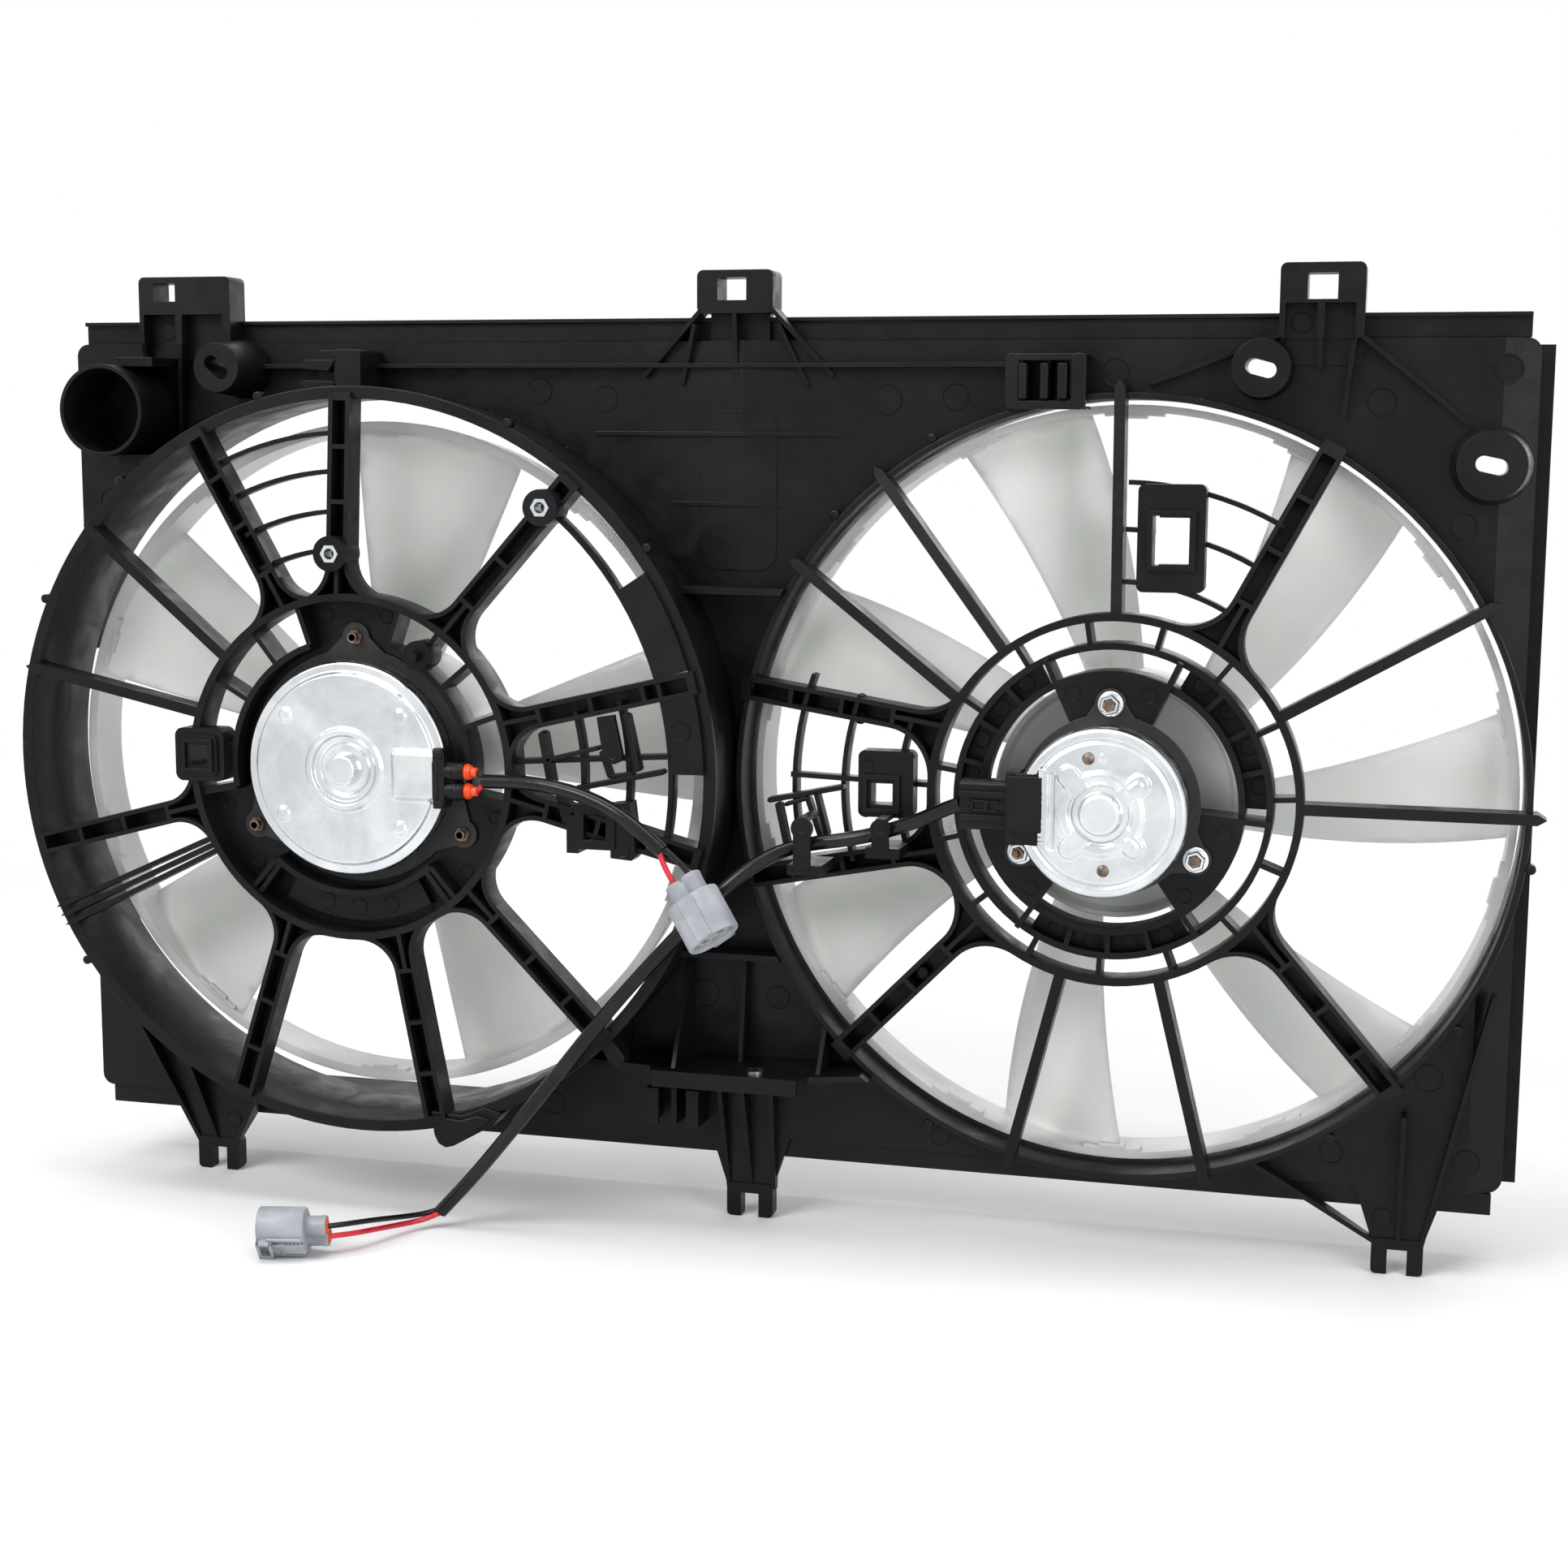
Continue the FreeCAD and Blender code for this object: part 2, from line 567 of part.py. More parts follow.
def foot(spec):
    """Forked foot that drops over a pin of the lower radiator support."""
    x0 = spec["x"]
    x1 = x0 + FOOT_WIDTH
    middle = (x0 + x1) / 2.0
    body = rounded_y(x0, x1, 0.0, FOOT_BLOCK_TOP, 2.5, -1.0, -1.0 + FOOT_THICKNESS)
    slot = block(middle - FOOT_SLOT_HALF, middle + FOOT_SLOT_HALF, -2.0, FOOT_THICKNESS, -1.0, FOOT_SLOT_TOP)
    low = FOOT_BLOCK_TOP - 3.0
    edge = [(x0 + 0.5, low), (x1 - 0.5, low), (x1 + 9.0, BOTTOM + 2.0), (x0 - 9.0, BOTTOM + 2.0)]
    pieces = [body.cut(slot), outline_y(edge, 0.0, LIP_BACK)]
    for start, end, rise in spec["ribs"]:
        pieces.append(rib(x0 + start, low + 1.0, x0 + end, BOTTOM + rise, 1.0, FOOT_RIB_RISE, RIB_T, LIP_BACK))
    return fused(pieces)


def locating_feet():
    feet = on_panel(Part.makeCompound([foot(spec) for spec in FEET]))
    low = LOWER_SHELF_Z - SHELF_NOSE
    left, right = RIDGE_X - LOWER_SHELF_REACH, RIDGE_X + LOWER_SHELF_REACH
    shelf_space = block(left, right, -LOWER_SHELF_FRONT - 5.0, 0.0, low, TOP)
    return parts_of(feet.cut(shelf_space))


BOSSES = (
    {"x": PANEL_LEFT + 93.5, "z": TOP - 12.5, "r": 12.0, "base": 15.0, "front": 30.0, "tilt": -40.0},
    {"x": PANEL_RIGHT - 119.5, "z": TOP - 13.5, "r": 13.0, "base": 14.0, "front": 15.0, "tilt": -15.0},
    {"x": PANEL_RIGHT - 19.5, "z": TOP - 55.5, "r": 15.0, "base": 18.0, "front": 25.0, "tilt": -12.0},
)


def hose_holder():
    """Round socket for the breather hose's filter, with two retaining tabs, closed by the panel behind it."""
    holder = tube_y(HOSE_X, HOSE_Z, HOSE_BORE_R + HOSE_WALL, HOSE_BORE_R, -HOSE_FRONT, 0.0)
    tabs = []
    for z, side in ((HOSE_Z + HOSE_BORE_R + 1.0, 1), (HOSE_Z - HOSE_BORE_R - 1.0, -1)):
        low = min(z, z + side * 4.5)
        tabs.append(block(HOSE_X + 4.0, HOSE_X + 24.0, -HOSE_FRONT + 9.0, 0.0, low, low + 4.5))
    bore = along_y(HOSE_X, HOSE_Z, HOSE_BORE_R, -HOSE_FRONT - 1.0, 1.0)
    return fused([holder] + tabs).cut(bore)


def slotted_boss(boss):
    deep = FACET_DEPTH + WALL
    start = V(boss["x"], deep, boss["z"])
    return Part.makeCone(boss["base"] + 0.8, boss["r"], boss["front"] + deep, start, V(0, -1, 0))


def boss_slot(boss):
    straight = BOSS_SLOT_LEN / 2.0 - BOSS_SLOT_HALF_W
    start = -boss["front"] - 1.0
    end = FACET_DEPTH + WALL + 1.0
    slot = block(-straight, straight, start, end, -BOSS_SLOT_HALF_W, BOSS_SLOT_HALF_W)
    ends = [along_y(side * straight, 0.0, BOSS_SLOT_HALF_W, start, end) for side in (-1, 1)]
    return placed(fused([slot] + ends), boss["x"], boss["z"], boss["tilt"])


def slotted_bosses():
    panel = plenum_shell()
    bosses = []
    for boss in BOSSES:
        body = slotted_boss(boss).cut(boss_slot(boss)).cut(behind_panel()).cut(panel)
        bosses.append(body)
    return parts_of(clear_of_rings(Part.makeCompound(bosses)))


def harness_clips():
    """Small open clips on the panel for the vehicle's own harness."""
    places = (
        (PANEL_LEFT + 144.5, PANEL_LEFT + 167.5, TOP - 26.5, TOP - 4.5),
        (PANEL_RIGHT - 231.5, PANEL_RIGHT - 197.5, TOP - 29.5, TOP - 7.5),
        (RIDGE_X - 46.0, RIDGE_X - 19.0, BOTTOM + 7.0, BOTTOM + 26.0),
    )
    clips = []
    for x0, x1, z0, z1 in places:
        middle = (x0 + x1) / 2.0
        for near, far in ((x0, x0 + 3.0), (x1 - 3.0, x1)):
            hook = (near, near + 6.5) if near == x0 else (far - 6.5, far)
            stem = block(near, far, -18.0, 0.0, z0, z1)
            clips.append(fused([stem, block(hook[0], hook[1], -18.0, -15.5, z0, z1)]))
        clips.append(block(middle - 1.5, middle + 1.5, -15.0, 0.0, z0, z1))
    return clips


def front_details():
    """Ribs, shelves and harness clips that stand on the panel between the rings."""
    clips = Part.makeCompound(harness_clips())
    ribs = fused(panel_ribs()[:1]).cut(clips)
    rest = [clear_of_rings(piece) for piece in panel_ribs()[1:]]
    post = clear_of_rings(fused(centre_post()))
    skin = fused([ridge_solid(RIDGE_RISE), raised_patch()])
    post = post.cut(skin).cut(rivet_hole())
    rest = [piece.cut(skin) for piece in rest]
    ribs = ribs.cut(skin).cut(fused([left_clip(), centre_clip(), right_clip()])).cut(slotted_boss(BOSSES[0]))
    return {
        "panel_ribs": parts_of(Part.makeCompound([clear_of_rings(ribs)] + rest)),
        "centre_post": parts_of(post),
        "harness_clips": parts_of(clear_of_rings(clips)),
    }


def rivet_hole():
    return Part.makeCylinder(RIVET_R, 10.0, V(RIVET_X, -RIVET_AHEAD, LOWER_SHELF_Z - 2.0), V(0, 0, 1))


def shelf_rivet():
    shank = Part.makeCylinder(RIVET_R, WALL, V(RIVET_X, -RIVET_AHEAD, LOWER_SHELF_Z), V(0, 0, 1))
    head = Part.makeCylinder(RIVET_R + 2.1, 1.2, V(RIVET_X, -RIVET_AHEAD, LOWER_SHELF_Z + WALL), V(0, 0, 1))
    tail = Part.makeCylinder(RIVET_R + 1.2, 1.5, V(RIVET_X, -RIVET_AHEAD, LOWER_SHELF_Z - 1.5), V(0, 0, 1))
    return fused([shank, head, tail])


# Fan rings

def left_ring():
    """Deep ring ahead of the panel, with a stepped front rim."""
    front = -LEFT_RING_FRONT
    profile = [
        (LEFT_RING_R, front),
        (LEFT_RING_OUT + LEFT_RIM_OUT, front),
        (LEFT_RING_OUT + LEFT_RIM_OUT, front + WALL),
        (LEFT_RING_OUT, front + WALL + 3.0),
        (LEFT_RING_OUT, LEFT_RING_BACK),
        (LEFT_RING_R, LEFT_RING_BACK),
    ]
    return turned(LEFT_X, LEFT_Z, profile)


def right_ring():
    """Ring whose wall runs back inside the plenum."""
    return tube_y(RIGHT_X, RIGHT_Z, RIGHT_RING_OUT, RIGHT_RING_R, -RIGHT_RING_FRONT, RIGHT_RING_BACK)


# Struts

class StrutLine:
    """Centre line of a strut, from its angle at the hub ring to its angle at the fan ring."""

    def __init__(self, hub_r, hub_deg, rim_r, rim_deg):
        hx, hz = polar(0.0, 0.0, hub_r, hub_deg)
        rx, rz = polar(0.0, 0.0, rim_r, rim_deg)
        self.degrees = math.degrees(math.atan2(rz - hz, rx - hx))
        self.offset = math.cos(math.radians(self.degrees)) * rz - math.sin(math.radians(self.degrees)) * rx
        self.reach = math.cos(math.radians(self.degrees)) * rx + math.sin(math.radians(self.degrees)) * rz


def flared_outline(line, width, flare, hub_r, reach):
    """Strut outline in its own plane, with concave flares that run into the hub ring."""
    sides = []
    for sign in (1.0, -1.0):
        edge = line.offset + sign * width / 2.0
        centre_t = edge + sign * flare
        centre_s = math.sqrt((hub_r + flare) ** 2 - centre_t ** 2)
        share = hub_r / (hub_r + flare)
        hub_s, hub_t = centre_s * share, centre_t * share
        to_hub = V(hub_s - centre_s, 0, hub_t - centre_t).normalize()
        middle = (to_hub + V(0, 0, -sign)).normalize() * flare + V(centre_s, 0, centre_t)
        sides.append((V(reach, 0, edge), V(centre_s, 0, edge), middle, V(hub_s, 0, hub_t)))
    upper, lower = sides
    edges = [
        Part.LineSegment(upper[0], upper[1]).toShape(),
        Part.Arc(upper[1], upper[2], upper[3]).toShape(),
        Part.LineSegment(upper[3], lower[3]).toShape(),
        Part.Arc(lower[3], lower[2], lower[1]).toShape(),
        Part.LineSegment(lower[1], lower[0]).toShape(),
        Part.LineSegment(lower[0], upper[0]).toShape(),
    ]
    return Part.Face(Part.Wire(edges))


def side_profile(bay, reach, depth, lift=0.0):
    """Slab between a strut's front and back: level over the hub, then sloping to the fan ring."""
    hub_r, at_hub = bay["hub_r"], bay["hub_front"]
    slope = (bay["rim_front"] - at_hub) / (bay["ring_r"] - hub_r)
    at_reach = at_hub + slope * (reach - hub_r)
    front = [(0, -at_hub - lift), (hub_r, -at_hub - lift), (reach, -at_reach - lift)]
    back = [(reach, -at_reach + depth), (hub_r, -at_hub + depth), (0, -at_hub + depth)]
    points = front + back
    wire = Part.makePolygon([V(s, y, -60.0) for s, y in points + points[:1]])
    return Part.Face(wire).extrude(V(0, 0, 120.0))


def channel_arm(bay, hub_deg, rim_deg, beyond=0.0):
    """Strut with two side walls, a floor, cross webs and a flared root."""
    line = StrutLine(bay["hub_r"], hub_deg, bay["ring_out"], rim_deg)
    reach = line.reach + beyond
    low = V(0, -120.0, 0)
    body = flared_outline(line, ARM_WIDTH, bay["flare"], bay["hub_r"], reach)
    body.translate(low)
    body = body.extrude(V(0, 120.0, 0)).common(side_profile(bay, reach, ARM_DEPTH))
    inner_r = bay["hub_r"] - ARM_WALL
    pocket = flared_outline(line, ARM_WIDTH - 2.0 * ARM_WALL, bay["flare"] + ARM_WALL, inner_r, bay["ring_r"] - 1.0)
    pocket.translate(low)
    pocket = pocket.extrude(V(0, 120.0, 0)).common(side_profile(bay, reach, ARM_DEPTH - ARM_FLOOR, 1.0))
    flare_end = bay["hub_r"] + bay["flare"] * 0.9
    webs = [block(0, flare_end, -120.0, 0, line.offset - RIB_T / 2.0, line.offset + RIB_T / 2.0)]
    position = flare_end
    while position < bay["ring_r"] - 6.0:
        webs.append(block(position, position + RIB_T, -120.0, 0, -60.0, 60.0))
        position += ARM_WEB_PITCH
    for web in webs:
        pocket = pocket.cut(web)
    return placed(body.cut(pocket), bay["x"], bay["z"], line.degrees)


def plain_bar(bay, hub_deg, rim_deg, beyond=0.0, width=BAR_WIDTH):
    """Solid strut with a pointed outer end."""
    line = StrutLine(bay["hub_r"], hub_deg, bay["ring_out"], rim_deg)
    reach = line.reach + beyond
    start = bay["hub_r"] - 1.0
    outline = [
        (start, line.offset - width / 2.0),
        (reach - 4.0, line.offset - width / 2.0),
        (reach, line.offset),
        (reach - 4.0, line.offset + width / 2.0),
        (start, line.offset + width / 2.0),
    ]
    body = outline_y(outline, -120.0, 0.0).common(side_profile(bay, reach, ARM_DEPTH - 1.0))
    return placed(body, bay["x"], bay["z"], line.degrees)


def ring_bar(bay, radius, start, end, front, depth, width=RIB_T):
    """Curved grille bar between two struts."""
    inner, outer = radius - width / 2.0, radius + width / 2.0
    return sector(bay["x"], bay["z"], inner, outer, start, end, -front, -front + depth)


def radial_web(bay, degrees, inner, outer, front, depth, width=WEB_T):
    web = block(inner, outer, -front, -front + depth, -width / 2.0, width / 2.0)
    return placed(web, bay["x"], bay["z"], degrees)


LEFT_BAY = {
    "x": LEFT_X, "z": LEFT_Z, "ring_r": LEFT_RING_R, "ring_out": LEFT_RING_OUT, "hub_r": LEFT_HUB_R,
    "hub_front": LEFT_HUB_FRONT, "rim_front": LEFT_RING_FRONT + BAR_PROUD, "flare": LEFT_FLARE,
}
RIGHT_BAY = {
    "x": RIGHT_X, "z": RIGHT_Z, "ring_r": RIGHT_RING_R, "ring_out": RIGHT_RING_OUT, "hub_r": RIGHT_HUB_R,
    "hub_front": RIGHT_HUB_FRONT, "rim_front": RIGHT_RING_FRONT + BAR_PROUD, "flare": RIGHT_FLARE,
}
LEFT_ARMS = ((113, 117), (93, 91), (53, 51), (17, 15), (-8, -12), (-43, -45), (-73, -77), (-113, -111), (-165, -165))
LEFT_BARS = ((141, 141), (163, 166))
RIGHT_ARMS = ((57, 60), (-40, -46), (-136, -135), (158, 166), (-162, -165))
RIGHT_BARS = ((90, 91), (29, 29), (0, -1), (-74, -76), (-105, -105), (148, 146), (127, 128))


def reach_at(bay, share):
    """Radius at a share of the way from the hub ring to the fan ring."""
    return bay["hub_r"] + share * (bay["ring_r"] - bay["hub_r"])


def front_at(bay, radius, below):
    """Depth of a piece that lies below the struts' sloping front at a radius."""
    share = (radius - bay["hub_r"]) / (bay["ring_r"] - bay["hub_r"])
    return bay["hub_front"] + share * (bay["rim_front"] - bay["hub_front"]) - below


NUT_BOSSES = ((reach_at(LEFT_BAY, 0.207), 93.5), (reach_at(LEFT_BAY, 0.837), 51.5))
LEFT_GRILLE = [reach_at(LEFT_BAY, share) for share in (0.826, 0.63, 0.424, 0.228)]
LEFT_CLIP_GRILLE = [reach_at(LEFT_BAY, share) for share in (0.37, 0.61)]
RIGHT_GRILLE = [reach_at(RIGHT_BAY, share) for share in (0.61, 0.39, 0.147)]
RIGHT_SIDE_GRILLE = [reach_at(RIGHT_BAY, share) for share in (0.147, 0.442, 0.705)]
GUARD_WIDTH = 15.0
SQUARE_PAD = 26.0
RIGHT_PAD_HEIGHT = 31.0
SQUARE_HOLE = 10.0


def motor_pads(bay, inner, outer, front):
    """Three flat seats for the motor's ears, with side walls up to the hub ring's face."""
    pieces = []
    for degrees in PAD_ANGLES:
        start = degrees - PAD_HALF_DEG
        end = degrees + PAD_HALF_DEG
        pieces.append(sector(bay["x"], bay["z"], inner, outer, start, end, -front, -front + PAD_T))
    return pieces


def square_pad(x, z, front, back):
    """Rounded pad with a raised rim and a square hole for a harness clip."""
    half = SQUARE_PAD / 2.0
    rim = half - 3.0
    pad = rounded_y(x - half, x + half, z - half, z + half, 4.0, -front, -back)
    raised = rounded_y(x - rim, x + rim, z - rim, z + rim, 3.0, -front - 1.5, -front)
    return fused([pad, raised])


def square_hole(x, z):
    half = SQUARE_HOLE / 2.0
    return block(x - half, x + half, -90.0, 0.0, z - half, z + half)


def left_hub(bay):
    """Two rings round the motor with the floor, the boxes and the webs between them."""
    x, z = bay["x"], bay["z"]
    hub_back = -LEFT_HUB_FRONT + HUB_DEPTH + 4.0
    inner, outer = LEFT_INNER_R - 1.0, LEFT_HUB_R - 1.0
    floor_front = -LEFT_PAD_FRONT + 1.0
    pieces = [
        tube_y(x, z, LEFT_HUB_R, LEFT_HUB_R - HUB_WALL, -LEFT_HUB_FRONT, hub_back),
        tube_y(x, z, LEFT_INNER_R, LEFT_INNER_R - WALL, -LEFT_INNER_FRONT, hub_back),
        tube_y(x, z, inner, LEFT_BORE_R, floor_front, hub_back),
    ]
    for degrees in PAD_ANGLES:
        start, end = degrees - PAD_HALF_DEG, degrees + PAD_HALF_DEG
        gap = sector(x, z, LEFT_BORE_R, LEFT_INNER_R + 2.0, start, end, -80.0, -LEFT_PAD_FRONT)
        pieces = [piece.cut(gap) for piece in pieces]
    pieces += motor_pads(bay, LEFT_BORE_R, outer, LEFT_PAD_FRONT)
    pieces.append(sector(x, z, inner, outer, -128, -52, floor_front, hub_back))
    pieces.append(sector(x, z, inner, inner + 14.0, -120, -60, floor_front - 5.0, floor_front))
    webs = [20, 40, 55, 128, 150, 172, -10, -52, -128, -170]
    for degrees in PAD_ANGLES:
        webs += [degrees - PAD_HALF_DEG, degrees + PAD_HALF_DEG]
    for degrees in webs:
        pieces.append(radial_web(bay, degrees, inner, outer, LEFT_INNER_FRONT, HUB_DEPTH + 2.0))
    return pieces


def left_strut_frame():
    """Hub ring, motor seats and struts of the left bay."""
    bay = LEFT_BAY
    x, z = bay["x"], bay["z"]
    pieces = left_hub(bay)
    pieces += [channel_arm(bay, hub, rim) for hub, rim in LEFT_ARMS]
    pieces += [plain_bar(bay, hub, rim, 3.0) for hub, rim in LEFT_BARS]
    for side in (-1.6, 0.0, 1.6):
        pieces.append(plain_bar(bay, -151.0 + side * 1.4, -153.0 + side, 3.0, 2.4))
    pieces += [ring_bar(bay, radius, 93, 116, front_at(bay, radius, 3.0), 6.0) for radius in LEFT_GRILLE]
    guard = LEFT_RING_R - GUARD_WIDTH
    guard_front = front_at(bay, guard, 1.0)
    pieces.append(ring_bar(bay, guard, -13, 50, guard_front, 8.0))
    for start, end in ((1.0, 13.5), (17.0, 33.0)):
        pieces.append(sector(x, z, guard - 1.0, LEFT_RING_R + 1.0, start, end, -guard_front, -LEFT_RING_FRONT + 0.3))
    for radius in LEFT_CLIP_GRILLE:
        pieces.append(ring_bar(bay, radius, -9, 15, front_at(bay, radius, 3.0), 7.0))
    pieces.append(radial_web(bay, 4, LEFT_HUB_R - 1.0, guard, front_at(bay, guard, 0.5), 7.0))
    for radius, degrees in NUT_BOSSES:
        bx, bz = polar(x, z, radius, degrees)
        pieces.append(along_y(bx, bz, NUT_BOSS_R, -NUT_BOSS_FRONT, -NUT_BOSS_FRONT + NUT_BOSS_LEN))
    stud_x, stud_z = polar(x, z, LEFT_INNER_R + 4.0, 56.0)
    pieces.append(along_y(stud_x, stud_z, 7.0, -LEFT_HUB_FRONT - 2.0, -LEFT_HUB_FRONT + 12.0))
    pieces.append(along_y(stud_x, stud_z, 2.8, -LEFT_HUB_FRONT - 9.0, -LEFT_HUB_FRONT))
    pad_x, pad_z = x - LEFT_HUB_R + 6.5, z + 4.0
    pieces.append(square_pad(pad_x, pad_z, LEFT_HUB_FRONT + 2.5, LEFT_HUB_FRONT - 10.0))
    frame = fused(pieces).cut(square_hole(pad_x, pad_z))
    frame = frame.cut(along_y(x, z, LEFT_BORE_R, -80.0, 0.0))
    for degrees in PAD_ANGLES:
        frame = frame.cut(along_y(*polar(x, z, LEFT_STUD_PCD_R, degrees), STUD_R, -80.0, 0.0))
    for radius, degrees in NUT_BOSSES:
        bx, bz = polar(x, z, radius, degrees)
        frame = frame.cut(hex_bar(bx, bz, NUT_HEX_R, -NUT_BOSS_FRONT - 0.5, -NUT_BOSS_FRONT + NUT_LEN))
        frame = frame.cut(along_y(bx, bz, NUT_BORE_R + 0.6, -NUT_BOSS_FRONT, 0.0))
    frame = frame.cut(tube_y(x, z, LEFT_RING_OUT + LEFT_RIM_OUT, LEFT_RING_R, -LEFT_RING_FRONT, 10.0))
    return frame.cut(along_y(RIGHT_X, RIGHT_Z, RIGHT_RING_OUT + 1.0, -RIGHT_RING_FRONT - 1.0, 60.0))


def right_hub(bay):
    """Three stepped rings round the motor, with floors, motor seats and webs between them."""
    x, z = bay["x"], bay["z"]
    hub_back = -RIGHT_HUB_FRONT + HUB_DEPTH
    pieces = [
        tube_y(x, z, RIGHT_HUB_R, RIGHT_HUB_R - HUB_WALL, -RIGHT_HUB_FRONT, hub_back),
        tube_y(x, z, RIGHT_SECOND_R, RIGHT_SECOND_R - WALL, -RIGHT_SECOND_FRONT, hub_back),
        tube_y(x, z, RIGHT_THIRD_R, RIGHT_THIRD_R - WALL, -RIGHT_THIRD_FRONT, hub_back - 6.0),
    ]
    seat = -RIGHT_PAD_FRONT
    for degrees in PAD_ANGLES:
        start, end = degrees - PAD_HALF_DEG, degrees + PAD_HALF_DEG
        gap = sector(x, z, RIGHT_THIRD_R - WALL - 1.0, RIGHT_THIRD_R + 1.0, start, end, -80.0, seat)
        pieces = [piece.cut(gap) for piece in pieces]
    half_pad = PAD_HALF_DEG + 6.0
    third, second, outer = RIGHT_THIRD_R - 1.0, RIGHT_SECOND_R - 1.0, RIGHT_HUB_R - 1.0
    for degrees in PAD_ANGLES:
        start, end = degrees - half_pad, degrees + half_pad
        pieces.append(sector(x, z, RIGHT_BORE_R, RIGHT_THIRD_R, start, end, seat, seat + PAD_T))
        floor_front = hub_back - 9.0
        pieces.append(sector(x, z, third, second, end + 4.0, start + 116.0, floor_front, floor_front + WALL))
        for side in (start, end):
            pieces.append(radial_web(bay, side, RIGHT_BORE_R + 1.0, second, RIGHT_PAD_FRONT, 18.0))
    for degrees in range(3, 363, 24):
        pieces.append(radial_web(bay, degrees, second, outer, RIGHT_HUB_FRONT, HUB_DEPTH - 2.0))
    for degrees in (14, 30, 46, 134, 150, 166, 254, 270, 286):
        pieces.append(radial_web(bay, degrees, third, second, RIGHT_SECOND_FRONT, HUB_DEPTH))
    return pieces


def right_strut_frame():
    """Hub rings, motor seats and struts of the right bay."""
    bay = RIGHT_BAY
    x, z = bay["x"], bay["z"]
    pieces = right_hub(bay)
    pieces += [channel_arm(bay, hub, rim, 2.0) for hub, rim in RIGHT_ARMS]
    pieces += [plain_bar(bay, hub, rim, 6.0) for hub, rim in RIGHT_BARS]
    pieces += [ring_bar(bay, radius, 60, 89, front_at(bay, radius, 2.0), 6.0) for radius in RIGHT_GRILLE]
    pieces += [ring_bar(bay, radius, 160, 196, front_at(bay, radius, 2.0), 8.0) for radius in RIGHT_SIDE_GRILLE]
    middle = reach_at(bay, 0.34)
    pieces.append(radial_web(bay, 178, RIGHT_HUB_R - 1.0, RIGHT_SIDE_GRILLE[0], front_at(bay, middle, 1.0), 8.0))
    pieces.append(radial_web(bay, 178, RIGHT_SIDE_GRILLE[1] - 8.0, RIGHT_SIDE_GRILLE[2], 28.0, 6.0))
    mid_x, mid_z = polar(x, z, reach_at(bay, 0.375), 79.0)
    pieces.append(rounded_y(mid_x - 15.0, mid_x + 15.0, mid_z - 24.0, mid_z + 24.0, 3.0, -32.0, -22.0))
    pad_x, pad_z = x - RIGHT_SIDE_GRILLE[0] - 5.5, z + 3.5
    half, tall = SQUARE_PAD / 2.0, RIGHT_PAD_HEIGHT / 2.0
    pad_front = -RIGHT_HUB_FRONT + 0.5
    pieces.append(rounded_y(pad_x - half, pad_x + half, pad_z - tall, pad_z + tall, 3.0, pad_front, pad_front + 10.0))
    frame = fused(pieces).cut(square_hole(pad_x - 1.7, pad_z - 4.6))
    frame = frame.cut(block(mid_x - 8.0, mid_x + 8.0, -60.0, -4.0, mid_z - 12.0, mid_z + 10.0))
    frame = frame.cut(along_y(x, z, RIGHT_BORE_R, -90.0, 0.0))
    for degrees in PAD_ANGLES:
        frame = frame.cut(along_y(*polar(x, z, RIGHT_STUD_PCD_R, degrees), STUD_R, -80.0, 0.0))
    frame = frame.cut(tube_y(x, z, RIGHT_RING_OUT, RIGHT_RING_R, -RIGHT_RING_FRONT, 10.0))
    frame = frame.cut(ridge_solid(RIDGE_RISE + PATCH_RISE))
    return frame.cut(along_y(LEFT_X, LEFT_Z, LEFT_RING_OUT + LEFT_RIM_OUT + 1.0, -80.0, 20.0))


def hex_bar(x, z, radius, front, back):
    points = [polar(x, z, radius, 60 * step) for step in range(6)]
    return outline_y(points, front, back)


def hex_insert_nuts():
    nuts = []
    for radius, degrees in NUT_BOSSES:
        bx, bz = polar(LEFT_X, LEFT_Z, radius, degrees)
        nut = hex_bar(bx, bz, NUT_HEX_R, -NUT_BOSS_FRONT - 0.5, -NUT_BOSS_FRONT + NUT_LEN)
        nuts.append(nut.cut(along_y(bx, bz, NUT_BORE_R, -NUT_BOSS_FRONT - 2.0, -NUT_BOSS_FRONT + NUT_LEN + 1.0)))
    return Part.makeCompound(nuts)


# Fans

def blade_section(radius, lead, trail, lead_y, trail_y, camber):
    """Closed thin aerofoil in a flat plane at one radius, from its two edge angles."""
    t0 = radius * math.tan(math.radians(lead))
    t1 = radius * math.tan(math.radians(trail))
    chord = V(0, trail_y - lead_y, t1 - t0)
    normal = V(0, t1 - t0, lead_y - trail_y).normalize()
    start = V(radius, lead_y, t0)
    skins = []
    for side in (-1.0, 1.0):
        points = []
        for share in (0.0, 0.3, 0.65, 1.0):
            bow = camber * 4.0 * share * (1.0 - share)
            thick = side * BLADE_T * (0.28 + 0.9 * share * (1.0 - share) * 2.0) / 2.0
            points.append(start + chord * share + normal * (bow + thick))
        curve = Part.BSplineCurve()
        curve.interpolate(points)
        skins.append((curve, points))
    (first, first_points), (second, second_points) = skins
    nose = Part.LineSegment(second_points[0], first_points[0]).toShape()
    tail = Part.LineSegment(first_points[-1], second_points[-1]).toShape()
    second.reverse()
    return Part.Wire([first.toShape(), tail, second.toShape(), nose])


def fan_blade(stations, inner_r, outer_r):
    wires = [blade_section(*station) for station in stations]
    blade = Part.makeLoft(wires, True, False)
    keep = along_y(0, 0, outer_r, -80.0, 80.0).cut(along_y(0, 0, inner_r, -81.0, 81.0))
    return blade.common(keep)


